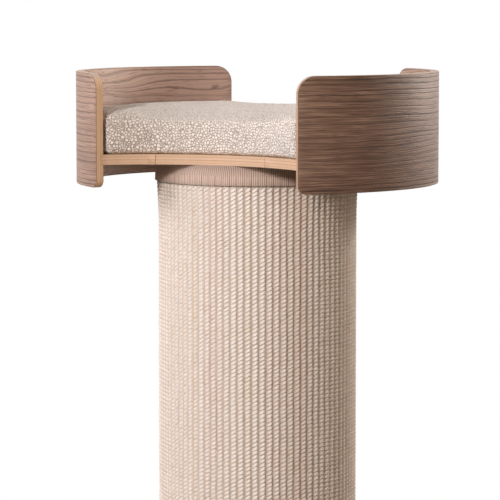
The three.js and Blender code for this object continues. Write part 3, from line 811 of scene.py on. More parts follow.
@dataclass
class NestPlan:
    """The plan that the platform and the cushion share: an arc on each side, a bay behind and in front."""

    front_gap: float = math.radians(35.7)
    rear_gap: float = math.radians(32.8)
    waist: float = 314 * MM

    def sides(self) -> list[tuple[float, float, float, float, int]]:
        """The two side arcs.

        Returns:
            For each side its first and last angle, the next side's first one, and the gap between
            them with its sign of Y.
        """
        right_front = self.front_gap - QUARTER_TURN
        right_rear = QUARTER_TURN - self.rear_gap
        left_rear = QUARTER_TURN + self.rear_gap
        left_front = 3 * QUARTER_TURN - self.front_gap
        return [
            (right_front, right_rear, left_rear, self.rear_gap, 1),
            (left_rear, left_front, right_front + 2 * math.pi, self.front_gap, -1),
        ]

    def outline(self, side_radius: float, corner_radius: float, waist: float, corner_round: float = 0.0,
                side_steps: int = 72, bay_steps: int = 48, corner_steps: int = 8) -> np.ndarray:
        """Draws the plan, anticlockwise.

        Args:
            side_radius: The side arcs' radius.
            corner_radius: How far from the axis the bays spring.
            waist: The least distance between the two bays.
            corner_round: How far from each corner its rounding starts.
            side_steps: The number of steps on a side arc.
            bay_steps: The number of steps on a bay.
            corner_steps: The number of steps on a rounded corner.

        Returns:
            The points, as an array of points by 2.
        """
        points: list[tuple[float, float]] = []
        for first, last, after, gap, sign in self.sides():
            trim = corner_round / side_radius
            points += arc((0, 0), side_radius, first + trim, last - trim, side_steps)
            half_width = corner_radius * math.sin(gap)
            distance = corner_radius * math.cos(gap)
            hollow = distance - waist / 2
            radius = (half_width ** 2 + hollow ** 2) / (2 * hollow)
            centre = (0.0, sign * (waist / 2 + radius))
            spread = math.atan2(half_width, abs(centre[1]) - distance)
            inward = -sign * QUARTER_TURN
            bay_trim = corner_round / radius
            bay = arc(centre, radius, inward + spread - bay_trim, inward - spread + bay_trim, bay_steps)
            if corner_round > 0:
                corner = (corner_radius * math.cos(last), corner_radius * math.sin(last))
                points += self.rounded(points[-1], corner, bay[0], corner_steps)
            points += bay
            if corner_round > 0:
                corner = (corner_radius * math.cos(after), corner_radius * math.sin(after))
                start = after + trim
                goal = (side_radius * math.cos(start), side_radius * math.sin(start))
                points += self.rounded(bay[-1], corner, goal, corner_steps)
        return np.array(points)

    @staticmethod
    def rounded(start: tuple[float, float], corner: tuple[float, float], end: tuple[float, float],
                steps: int) -> list[tuple[float, float]]:
        """Points of a rounded corner, without its two ends."""
        curve = []
        for i in range(1, steps):
            t = i / steps
            shares = ((1 - t) ** 2, 2 * t * (1 - t), t ** 2)
            curve.append(tuple(sum(s * p[axis] for s, p in zip(shares, (start, corner, end))) for axis in (0, 1)))
        return curve


# ---------------------------------------------------------------- side panels


@dataclass
class SidePanel:
    """A moulded plywood side of the nest, veneered on both faces and housed round the platform."""

    side: Side
    plan: NestPlan
    outer_radius: float
    bottom: float
    top: float
    platform_bottom: float
    platform_top: float
    thickness: float = 12 * MM
    corner_radius: float = 26 * MM
    foot_corner_radius: float = 13 * MM
    edge_ease: float = 1.2 * MM
    dado_depth: float = 4.5 * MM
    ease_steps: int = 3
    corner_steps: int = 12
    turn_step: float = math.radians(1.5)

    @property
    def node(self) -> str:
        """The CAD node that the panel stands for."""
        return f"{self.side.name.lower()}_side_panel"

    def section(self, end_ease: float, top_trim: float, foot_trim: float) -> list[tuple[float, float]]:
        """One upright section: eased edges, and the dado in the inner face.

        Args:
            end_ease: How much thinner the section is on each face.
            top_trim: How far its top edge is drawn in.
            foot_trim: How far its bottom edge is drawn in.

        Returns:
            Its (radius, height) points, anticlockwise.
        """
        ease = self.edge_ease
        inner = self.outer_radius - self.thickness + end_ease
        outer = self.outer_radius - end_ease
        low = self.bottom + foot_trim + ease
        high = self.top - top_trim - ease
        dado = self.outer_radius - self.thickness + self.dado_depth
        steps = self.ease_steps
        return [
            *arc((outer - ease, low), ease, -QUARTER_TURN, 0, steps),
            *arc((outer - ease, high), ease, 0, QUARTER_TURN, steps),
            *arc((inner + ease, high), ease, QUARTER_TURN, math.pi, steps),
            (inner, self.platform_top), (dado, self.platform_top),
            (dado, self.platform_bottom), (inner, self.platform_bottom),
            *arc((inner + ease, low), ease, math.pi, 3 * QUARTER_TURN, steps),
        ]

    def stations(self) -> list[tuple[float, float, float, float]]:
        """The rounding of one end: each station's distance from the end, easing, top trim and foot trim."""

        def short_by(radius: float, distance: float) -> float:
            """How far a rounding of this radius falls short, at a distance from its end."""
            return radius - math.sqrt(radius ** 2 - (radius - distance) ** 2) if distance < radius else 0.0

        reaches = ((self.edge_ease, self.ease_steps), (self.foot_corner_radius, self.corner_steps),
                   (self.corner_radius, self.corner_steps))
        distances = {round(radius * (1 - math.cos(t)), 6)
                     for radius, steps in reaches for t in np.linspace(0, QUARTER_TURN, steps + 1)}
        return [(distance, *(short_by(radius, distance) for radius in
                             (self.edge_ease, self.corner_radius, self.foot_corner_radius)))
                for distance in sorted(distances)]

    def build(self, veneer: bpy.types.Material, edge: bpy.types.Material) -> bpy.types.Object:
        """Builds the panel.

        Args:
            veneer: The finish of both faces.
            edge: The finish of the edges and the dado.

        Returns:
            The panel's object.
        """
        first, last = self.plan.sides()[0 if self.side is Side.RIGHT else 1][:2]
        middle_radius = self.outer_radius - self.thickness / 2
        ends = self.stations()
        reach = self.corner_radius / middle_radius
        count = math.ceil((last - first - 2 * reach) / self.turn_step)
        middle = [(first + reach + i * (last - first - 2 * reach) / count, 0.0, 0.0, 0.0) for i in range(1, count)]
        rows = [(first + distance / middle_radius, *trims) for distance, *trims in ends]
        rows += middle
        rows += [(last - distance / middle_radius, *trims) for distance, *trims in reversed(ends)]
        rings = np.array([[(r * math.cos(angle), r * math.sin(angle), z) for r, z in self.section(*trims)]
                          for angle, *trims in rows])
        steps = self.ease_steps
        faces = {steps, 3 * steps + 2, 3 * steps + 6}
        eased = {i for i, row in enumerate(rows) if row[1] > 0}

        def finish_of(row: int, point: int) -> int:
            """0 for veneer on a plain part of a face, 1 for the ply edge."""
            return 0 if point in faces and row not in eased and row + 1 not in eased else 1

        panel = skin(f"{self.side.name.lower()}_veneered_panel", rings, (veneer, edge), finish_of, sharp=35)
        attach(panel, Body.POST.value)
        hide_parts(self.node)
        return panel


# ---------------------------------------------------------------- platform


@dataclass
class Platform:
    """The plywood floor of the nest: a centre board between two wings, bolted down through its middle."""

    plan: NestPlan
    bottom: float
    top: float
    side_radius: float
    corner_radius: float
    bolt_places: list[tuple[float, float]]
    joint: float = 88 * MM
    joint_gap: float = 0.1 * MM
    joint_ease: float = 0.9 * MM
    ease: float = 0.5 * MM
    hole_radius: float = 4.3 * MM
    sink_radius: float = 8.1 * MM
    sink_straight: float = 0.8 * MM
    sink_depth: float = 5.2 * MM
    hole_steps: int = 40

    def between(self, outline: np.ndarray, low: float, high: float) -> np.ndarray:
        """Keeps what lies between two X places of an outline.

        Args:
            outline: The points, as an array of points by 2.
            low: The lower X.
            high: The upper X.

        Returns:
            The cut outline.
        """
        for limit, sign in ((low, 1), (high, -1)):
            kept: list[np.ndarray] = []
            for here, there in zip(outline, np.roll(outline, -1, 0)):
                inside, inside_next = sign * (here[0] - limit) >= 0, sign * (there[0] - limit) >= 0
                if inside:
                    kept.append(here)
                if inside != inside_next:
                    kept.append(here + (there - here) * (limit - here[0]) / (there[0] - here[0]))
            outline = np.array(kept)
        return self.eased(outline, (low, high))

    def eased(self, outline: np.ndarray, limits: tuple[float, float]) -> np.ndarray:
        """Takes off the corners at the joints, so that each shows as a fine upright line.

        Args:
            outline: The cut outline.
            limits: The joints' X places.

        Returns:
            The outline with two points for each such corner.
        """
        points: list[np.ndarray] = []
        for i, here in enumerate(outline):
            if min(abs(here[0] - limit) for limit in limits) > 0.001 * MM:
                points.append(here)
                continue
            for other in (outline[i - 1], outline[(i + 1) % len(outline)]):
                way = other - here
                points.append(here + way * self.joint_ease / np.linalg.norm(way))
        return np.array(points)

    def board(self, name: str, low: float, high: float, finishes: Sequence[bpy.types.Material]) -> bpy.types.Object:
        """Builds one board with its countersunk holes.

        Args:
            name: The board's name.
            low: Its left edge's X.
            high: Its right edge's X.
            finishes: The finishes of its faces and of its edges.

        Returns:
            The board's object.
        """
        outline = self.between(self.plan.outline(self.side_radius, self.corner_radius, self.plan.waist), low, high)
        small = drawn_in(outline, self.ease)
        levels = [(small, self.top), (outline, self.top - self.ease), (outline, self.bottom + self.ease),
                  (small, self.bottom)]
        stacks = [[np.c_[points, np.full(len(points), z)] for points, z in levels]]
        for place in self.bolt_places:
            if low < place[0] < high:
                sizes = [(self.sink_radius, self.top), (self.sink_radius, self.top - self.sink_straight),
                         (self.hole_radius, self.top - self.sink_depth), (self.hole_radius, self.bottom)]
                stacks.append([np.array([(*p, z) for p in arc(place, r, 0, -2 * math.pi, self.hole_steps)[:-1]])
                               for r, z in sizes])
        vertices: list[list[float]] = []
        starts: list[list[int]] = []
        for stack in stacks:
            starts.append([])
            for ring in stack:
                starts[-1].append(len(vertices))
                vertices += ring.tolist()
        faces: list[tuple[int, ...]] = []
        numbers: list[int] = []
        for stack, begin in zip(stacks, starts):
            count = len(stack[0])
            for upper, lower in zip(begin, begin[1:]):
                for j in range(count):
                    k = (j + 1) % count
                    faces.append((upper + j, lower + j, lower + k, upper + k))
                    numbers.append(1)
        for level in (0, -1):
            loops = [[Vector(p) for p in stack[level]] for stack in stacks]
            lookup = [begin[level] + j for stack, begin in zip(stacks, starts) for j in range(len(stack[0]))]
            for triangle in tessellate_polygon(loops):
                faces.append(tuple(lookup[i] for i in triangle))
                numbers.append(0)
        mesh = bpy.data.meshes.new(name)
        mesh.from_pydata(vertices, [], faces)
        mesh.polygons.foreach_set("material_index", numbers)
        return finish_mesh(name, mesh, finishes, 30)

    def build(self, face: bpy.types.Material, edge: bpy.types.Material) -> list[bpy.types.Object]:
        """Builds the three boards.

        Args:
            face: The finish of their faces.
            edge: The finish of their edges.

        Returns:
            The boards' objects.
        """
        near, far = self.joint - self.joint_gap / 2, self.joint + self.joint_gap / 2
        spans = {"centre_board": (-near, near), "right_wing": (far, self.side_radius),
                 "left_wing": (-self.side_radius, -far)}
        boards = []
        for part, (low, high) in spans.items():
            piece = self.board(f"{part}_birch_ply", low, high, (face, edge))
            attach(piece, Body.POST.value)
            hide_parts(f"platform_{part}")
            boards.append(piece)
        return boards


@dataclass
class CountersunkBolt:
    """A zinc-plated bolt with a hexagon socket in its flat head."""

    node: str
    shank_radius: float = 4 * MM
    head_radius: float = 7.8 * MM
    head_height: float = 4.4 * MM
    rim: float = 0.4 * MM
    socket_across_flats: float = 5 * MM
    socket_depth: float = 2.6 * MM
    steps: int = 48

    def build(self, zinc: bpy.types.Material) -> bpy.types.Object:
        """Builds the bolt where its CAD node lies, head up.

        Args:
            zinc: The bolt's finish.

        Returns:
            The bolt's object.
        """
        low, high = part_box(self.node)
        x, y, top = (low.x + high.x) / 2, (low.y + high.y) / 2, high.z
        angles = np.arange(self.steps) * 2 * math.pi / self.steps
        flat = math.pi / 6
        hexagon = self.socket_across_flats / 2 / np.cos((angles + flat) % (2 * flat) - flat)
        levels = [
            (self.shank_radius * 0.8, low.z), (self.shank_radius, low.z + self.shank_radius * 0.2),
            (self.shank_radius, top - self.head_height), (self.head_radius, top - self.rim),
            (self.head_radius - self.rim / 2, top), (hexagon + self.rim / 2, top), (hexagon, top - self.rim / 2),
            (hexagon, top - self.socket_depth), (hexagon * 0.5, top - self.socket_depth - self.rim),
        ]
        rings = np.array([np.stack([x + radius * np.cos(angles), y + radius * np.sin(angles),
                                    np.full(self.steps, z)], 1) for radius, z in levels])
        bolt = skin(f"{self.node}_zinc", rings, (zinc,), sharp=30)
        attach(bolt, Body.POST.value)
        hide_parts(self.node)
        return bolt


# ---------------------------------------------------------------- column


@dataclass
class SisalSleeve:
    """The woven sleeve: upright ribs, each crossed by leaning yarns that dive into the groove on its left."""

    inner_radius: float
    bottom: float
    top: float
    outer_radius: float
    flare: float = 2.8 * MM
    flare_length: float = 70 * MM
    ribs: int = 88
    yarn_pitch: float = 6.1 * MM
    lean: float = 0.75
    rib_heights: tuple[float, ...] = (-2.8 * MM, -1.9 * MM, -0.9 * MM, -0.1 * MM, -0.2 * MM)
    yarn_depths: tuple[float, ...] = (0.8 * MM, 1.6 * MM, 1.7 * MM, 1.4 * MM, 1.2 * MM)
    least_strength: float = 0.7
    most_strength: float = 1.15
    rib_tint_share: float = 0.75  # of a yarn's tint, what its whole rib shares
    sway_width: float = 0.12
    sway_yarns: int = 7  # a rib's straying is evened out over so many yarns
    seed: int = 5

    def reach(self, z: np.ndarray) -> np.ndarray:
        """The radius over the ribs at each height."""
        share = np.clip((z - self.top + self.flare_length) / self.flare_length, 0, 1)
        return self.outer_radius - self.flare * (1 - share ** 1.5)

    def build(self, sisal: bpy.types.Material) -> list[bpy.types.Object]:
        """Builds the sleeve in two halves, so that neither mesh grows too large.

        Args:
            sisal: The sleeve's finish.

        Returns:
            The two halves' objects.
        """
        random = np.random.default_rng(self.seed)
        across = len(self.rib_heights)
        yarns = math.ceil((self.top - self.bottom) / self.yarn_pitch) + 2
        strength = random.uniform(self.least_strength, self.most_strength, (self.ribs, yarns))
        rib_tint = random.uniform(0, 1, self.ribs)[:, None] * self.rib_tint_share
        tint = rib_tint + random.uniform(0, 1 - self.rib_tint_share, (self.ribs, yarns))
        sway = random.normal(0, 1, (self.ribs, yarns))
        evenly = np.ones(self.sway_yarns) / self.sway_yarns
        sway = np.array([np.convolve(row, evenly, "same") for row in sway]) * self.sway_width
        halves = []
        for number, name in enumerate(("front", "rear")):
            first = number * self.ribs // 2 + self.ribs // 2
            rows: list[np.ndarray] = []
            marks: list[np.ndarray] = []
            for rib in range(first, first + self.ribs // 2 + 1):
                columns = 1 if rib == first + self.ribs // 2 else across
                for part in range(columns):
                    points, values = self.column(rib, part, yarns, strength, tint, sway)
                    rows.append(points)
                    marks.append(values)
            names = ("ribs", "yarns", "tint", "strength")
            half = skin(f"sisal_sleeve_{name}_half", np.array(rows), (sisal,), sharp=75,
                        attributes=dict(zip(names, np.moveaxis(np.array(marks), 2, 0))))
            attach(half, Body.POST.value)
            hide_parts("sisal_sleeve")
            halves.append(half)
        return halves

    def column(self, rib: int, part: int, yarns: int, strength: np.ndarray, tint: np.ndarray,
               sway: np.ndarray) -> tuple[np.ndarray, np.ndarray]:
        """One upright line of points on the outside, closed by two points on the inside.

        Args:
            rib: The rib's number, counted on past a full turn.
            part: Which of the rib's upright lines it is.
            yarns: How many yarns cross the rib.
            strength: How deep each yarn's edge is, by rib and yarn.
            tint: How rosy each yarn is.
            sway: How far each rib strays sideways, in shares of its width.

        Returns:
            The points, and for each its count of ribs and yarns, its tint and its strength.
        """
        share = part / len(self.rib_heights)
        steps = np.arange(2 * yarns)
        yarn = np.minimum(steps // 2, yarns - 1)
        z = self.bottom + (steps / 2 - self.lean + self.lean * share) * self.yarn_pitch
        z = np.clip(z, self.bottom, self.top)
        z[0], z[-1] = self.bottom, self.top
        mine = rib % self.ribs
        dip = np.where(steps % 2 == 0, 1.0, 0.0) * strength[mine, yarn] * self.yarn_depths[part]
        radius = self.reach(z) + self.rib_heights[part] - dip
        turn_step = 2 * math.pi / self.ribs
        turn = (rib + share + sway[mine, yarn] * (0.6 if part else 0.4)) * turn_step
        flat_turn = (rib + share) * turn_step
        outside = np.stack([radius * np.cos(turn), radius * np.sin(turn), z], 1)
        inside = [(self.inner_radius * math.cos(flat_turn), self.inner_radius * math.sin(flat_turn), level)
                  for level in (self.top, self.bottom)]
        values = np.stack([np.full(len(steps), rib + share), steps / 2, tint[mine, yarn], strength[mine, yarn]], 1)
        return np.vstack([outside, inside]), np.vstack([values, values[-1], values[0]])


@dataclass
class RibbedBand:
    """A band of ribbed taupe cloth round the column: a binding over the sleeve's edge, or the collar."""

    name: str
    node: str
    slot: Slot
    profile: Sequence[tuple[float, float]]
    ribs: int
    rib_height: float
    inner_radius: float
    columns_per_rib: int = 5
    pressed_ribs: int = 0
    pressed_depth: float = 0.0

    def build(self, cloth: bpy.types.Material) -> bpy.types.Object:
        """Builds the band.

        Args:
            cloth: The band's finish.

        Returns:
            The band's object.
        """
        columns = self.ribs * self.columns_per_rib
        limit = self.inner_radius + 4 * self.rib_height

        def wave(angles: np.ndarray, ribs: int) -> np.ndarray:
            """The ribs' height round the column, from 0 in a groove to 1 on a crest."""
            return np.abs(np.sin(angles * ribs / 2)) ** 0.5

        def reach(angles: np.ndarray, radius: float, height: float) -> np.ndarray:
            """The band's radius at each angle, for one point of its profile."""
            share = 1.0 if radius > limit else 0.0
            # The sleeve's ribs press through a band that is folded over them.
            pressed = self.pressed_depth * (1 - wave(angles, self.pressed_ribs)) ** 2
            return radius - share * (self.rib_height * (1 - wave(angles, self.ribs)) + pressed)

        rings = revolved(self.profile, columns, reach)
        turns = np.arange(columns) * 2 * math.pi / columns
        # The relief, which the cloth's colour follows, is low between the ribs and where the sleeve's ribs press in, so
        # the colour is darker there: painted shade.
        fall = 0.5 * (1 - wave(turns, self.pressed_ribs)) ** 2 if self.pressed_depth else 0.0
        relief = np.repeat((wave(turns, self.ribs) - fall)[:, None], len(self.profile), 1)
        band = skin(self.name, rings, (cloth,), wrap=True, sharp=60, attributes={"relief": relief})
        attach(band, Body.POST.value)
        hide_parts(self.node)
        return band


@dataclass
class Column:
    """The column's cloth: the sleeve, the two bindings over its edges and the collar under the platform."""

    rib_count: int = 88
    cloth_ribs: int = 300
    binding_thickness: float = 1.5 * MM
    binding_bend: float = 0.3 * MM
    binding_taper: float = 0.7 * MM
    collar_foot: float = 10 * MM

    def binding(self, place: str, up: int, cloth: bpy.types.Material) -> bpy.types.Object:
        """Builds the binding over one of the sleeve's edges.

        Args:
            place: "top" or "bottom".
            up: 1 at the top and -1 at the bottom.
            cloth: Its finish.

        Returns:
            The binding's object.
        """
        node = f"sleeve_{place}_binding"
        low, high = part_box(node)
        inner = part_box("core_tube")[1].x + 0.3 * MM
        outer, thick = high.x, self.binding_thickness
        edge, leg_end = (high.z, low.z) if up > 0 else (low.z, high.z)
        bend, slim = self.binding_bend, outer - self.binding_taper
        middle = (edge + leg_end) / 2
        profile = [
            (inner, edge - up * thick), (slim - thick, edge - up * thick), (outer - thick, middle),
            (outer - thick, leg_end), (outer - thick / 2, leg_end - up * 0.1 * MM), (outer, leg_end + up * thick / 2),
            (outer - self.binding_taper / 3, middle), (slim, edge - up * bend), (slim - bend, edge), (inner, edge),
        ]
        band = RibbedBand(f"sleeve_{place}_webbing", node, Slot.BINDING, profile, self.cloth_ribs,
                          0.35 * MM, inner, pressed_ribs=self.rib_count, pressed_depth=0.7 * MM)
        return band.build(cloth)

    def collar(self, cloth: bpy.types.Material) -> bpy.types.Object:
        """Builds the flared collar under the platform.

        Args:
            cloth: Its finish.

        Returns:
            The collar's object.
        """
        low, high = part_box("neck_collar")
        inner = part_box("core_tube")[1].x + 0.3 * MM
        foot, head = inner + self.collar_foot, high.x
        curve = [(foot + (head - foot) * share ** 2, low.z + (high.z - low.z) * share)
                 for share in np.linspace(0, 1, 9)]
        profile = [(inner, low.z), *curve, (inner, high.z)]
        band = RibbedBand("neck_collar_cloth", "neck_collar", Slot.COLLAR, profile, self.cloth_ribs,
                          0.35 * MM, inner)
        return band.build(cloth)

    def build(self, sisal: bpy.types.Material, webbing: bpy.types.Material,
              collar_cloth: bpy.types.Material) -> list[bpy.types.Object]:
        """Builds the column's cloth.

        Args:
            sisal: The sleeve's finish.
            webbing: The bindings' finish.
            collar_cloth: The collar's finish.

        Returns:
            The column's pieces.
        """
        low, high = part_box("sisal_sleeve")
        sleeve = SisalSleeve(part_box("core_tube")[1].x + 0.3 * MM, low.z, high.z, high.x, ribs=self.rib_count)
        return [
            *sleeve.build(sisal),
            self.binding("top", 1, webbing),
            self.binding("bottom", -1, webbing),
            self.collar(collar_cloth),
        ]


@dataclass
class BasePlate:
    """The round steel foot: rolled upper edge, fine powder coat."""

    edge_round: float = 2 * MM
    steps: int = 240

    def build(self, coat: bpy.types.Material) -> bpy.types.Object:
        """Builds the plate.

        Args:
            coat: Its finish.

        Returns:
            The plate's object.
        """
        low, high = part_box("base_plate")
        rim, soft = high.x, self.edge_round
        profile = [(0.5 * MM, low.z), (rim - soft / 4, low.z), (rim, low.z + soft / 4),
                   *arc((rim - soft, high.z - soft), soft, 0, QUARTER_TURN, 6), (0.5 * MM, high.z)]
        plate = skin("base_plate_powder_coated", revolved(profile, self.steps), (coat,), wrap=True, sharp=35)
        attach(plate, Body.POST.value)
        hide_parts("base_plate")
        return plate


# ---------------------------------------------------------------- cushion


@dataclass
class Cushion:
    """The loose cushion: foam in a boucle cover, crowned, its edges rolled over and its underside flat."""

    plan: NestPlan
    side_radius: float
    bottom: float
    height: float
    crown: float = 13 * MM
    side_lift: float = 7 * MM
    crown_run: float = 90 * MM
    edge_round: float = 7 * MM
    foot_round: float = 6 * MM
    corner_round: float = 1.5 * MM
    setback: float = 2 * MM
    start_inset: float = 1 * MM
    edge_steps: int = 5
    voxel: float = 5 * MM
    pressure: float = 2.5
    frames: int = 20
    most_swell: float = 3 * MM
    loop_size: float = 4.6 * MM
    loop_height: float = 0.5 * MM
    lift_start: float = math.radians(22)
    lift_end: float = math.radians(40)

    def ring(self, inset: float, height: float, lifted: float) -> np.ndarray:
        """One level of the cushion, which stands higher along the panels than in the two bays.

        Args:
            inset: How far the plan is drawn in.
            height: The level above the cushion's underside, in a bay.
            lifted: The share of the side lift that the level gets.

        Returns:
            The level's points.
        """
        side = self.side_radius - inset
        waist = self.plan.waist - 2 * (self.setback + inset)
        outline = self.plan.outline(side, side, waist, self.corner_round, 60, 36, 8)
        from_bay = np.abs(np.arctan2(outline[:, 0], np.abs(outline[:, 1])))
        beside = np.clip((from_bay - self.lift_start) / (self.lift_end - self.lift_start), 0, 1)
        beside = beside ** 2 * (3 - 2 * beside)
        return np.c_[outline, self.bottom + height + self.side_lift * lifted * beside]

    def form(self) -> np.ndarray:
        """The sewn cover's form before it is filled."""
        foot, edge, rim = self.foot_round, self.edge_round, self.height - self.crown
        turns = np.linspace(0, QUARTER_TURN, self.edge_steps + 1)
        levels = [(foot * (1 - math.sin(t)), foot * (1 - math.cos(t)), 0.0) for t in turns]
        levels += [(edge * (1 - math.cos(t)), rim - edge * (1 - math.sin(t)), 1.0) for t in turns]
        for share in np.linspace(0, 1, 7)[1:]:
            fall = (1 - share) ** 2
            levels.append((edge + (self.crown_run - edge) * share, rim + self.crown * (1 - fall), fall))
        return np.array([self.ring(inset + self.start_inset, height, lifted) for inset, height, lifted in levels])

    def fill(self, cover: bpy.types.Object) -> bpy.types.Mesh:
        """Fills the cover: a cloth simulation under pressure from inside, each point's way capped.

        Args:
            cover: The cover before it is filled.

        Returns:
            The filled cover's mesh.
        """
        remesh = cover.modifiers.new("even_mesh", "REMESH")
        remesh.mode = "VOXEL"
        remesh.voxel_size = self.voxel
        remesh.use_smooth_shade = True
        graph = bpy.context.evaluated_depsgraph_get()
        even = bpy.data.meshes.new_from_object(cover.evaluated_get(graph))
        cover.modifiers.clear()
        trial = bpy.data.objects.new("cushion_trial", even)
        bpy.context.scene.collection.objects.link(trial)
        before = np.array([v.co for v in even.vertices])
        cloth = trial.modifiers.new("cloth", "CLOTH")
        cloth.settings.use_pressure = True
        cloth.settings.uniform_pressure_force = self.pressure
        cloth.settings.effector_weights.gravity = 0.0
        scene = bpy.context.scene
        for number in range(1, self.frames + 1):
            scene.frame_set(number)
        graph = bpy.context.evaluated_depsgraph_get()
        filled = bpy.data.meshes.new_from_object(trial.evaluated_get(graph))
        scene.frame_set(1)
        bpy.data.objects.remove(trial)
        after = np.array([v.co for v in filled.vertices])
        way = after - before
        length = np.linalg.norm(way, axis=1, keepdims=True)
        LOG.info("the cushion swelled by up to %.1f mm", length.max() / MM)
        way *= np.minimum(1, self.most_swell / np.maximum(length, 1e-9))
        filled.vertices.foreach_set("co", (before + way).ravel())
        return filled

    def settle(self, mesh: bpy.types.Mesh) -> None:
        """Keeps the filled cover on the platform and between the panels.

        Args:
            mesh: The filled cover's mesh, which is changed.
        """
        points = np.array([v.co for v in mesh.vertices])
        points[:, 2] = np.clip(points[:, 2], self.bottom, self.bottom + self.height + 3 * MM)
        reach = np.linalg.norm(points[:, :2], axis=1)
        points[:, :2] *= np.minimum(1, self.side_radius / reach)[:, None]
        mesh.vertices.foreach_set("co", points.ravel())
        mesh.update()

    def loops(self, mesh: bpy.types.Mesh) -> None:
        """Raises the cloth's loops, apart from where the cushion lies on the platform.

        Args:
            mesh: The fine mesh, which is changed and gets its relief.
        """
        points = np.array([v.co for v in mesh.vertices])
        normals = np.array([v.normal for v in mesh.vertices])
        rise = np.empty(len(points))
        for i, point in enumerate(points):
            place = Vector(point) / self.loop_size
            nearest = noise.voronoi(place)[0]
            rise[i] = 1 - min(1.0, nearest[0] * 1.4) + 0.25 * noise.noise(place * 1.7)
        rise = np.clip(rise, 0, 1)
        free = np.clip((points[:, 2] - self.bottom) / (4 * MM), 0, 1)
        points += normals * ((rise - 0.5) * self.loop_height * free)[:, None]
        mesh.vertices.foreach_set("co", points.ravel())
        mesh.attributes.new("relief", "FLOAT", "POINT").data.foreach_set("value", rise.astype(np.float32))
        mesh.update()

    def build(self, boucle: bpy.types.Material) -> bpy.types.Object:
        """Builds the cushion.

        Args:
            boucle: The cover's finish.

        Returns:
            The cushion's object.
        """
        cover = skin("cushion_cover_start", self.form(), (boucle,))
        filled = self.fill(cover)
        bpy.data.objects.remove(cover)
        self.settle(filled)
        coarse = bpy.data.objects.new("cushion_coarse", filled)
        bpy.context.scene.collection.objects.link(coarse)
        finer = coarse.modifiers.new("finer", "SUBSURF")
        finer.levels = 1
        finer.render_levels = 1
        graph = bpy.context.evaluated_depsgraph_get()
        fine = bpy.data.meshes.new_from_object(coarse.evaluated_get(graph))
        bpy.data.objects.remove(coarse)
        self.loops(fine)
        fine.materials.clear()
        cushion = finish_mesh("boucle_cushion", fine, (boucle,), 180)
        LOG.info("the cushion has %d faces", len(fine.polygons))
        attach(cushion, Body.CUSHION.value)
        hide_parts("cushion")
        return cushion


# ---------------------------------------------------------------- studio


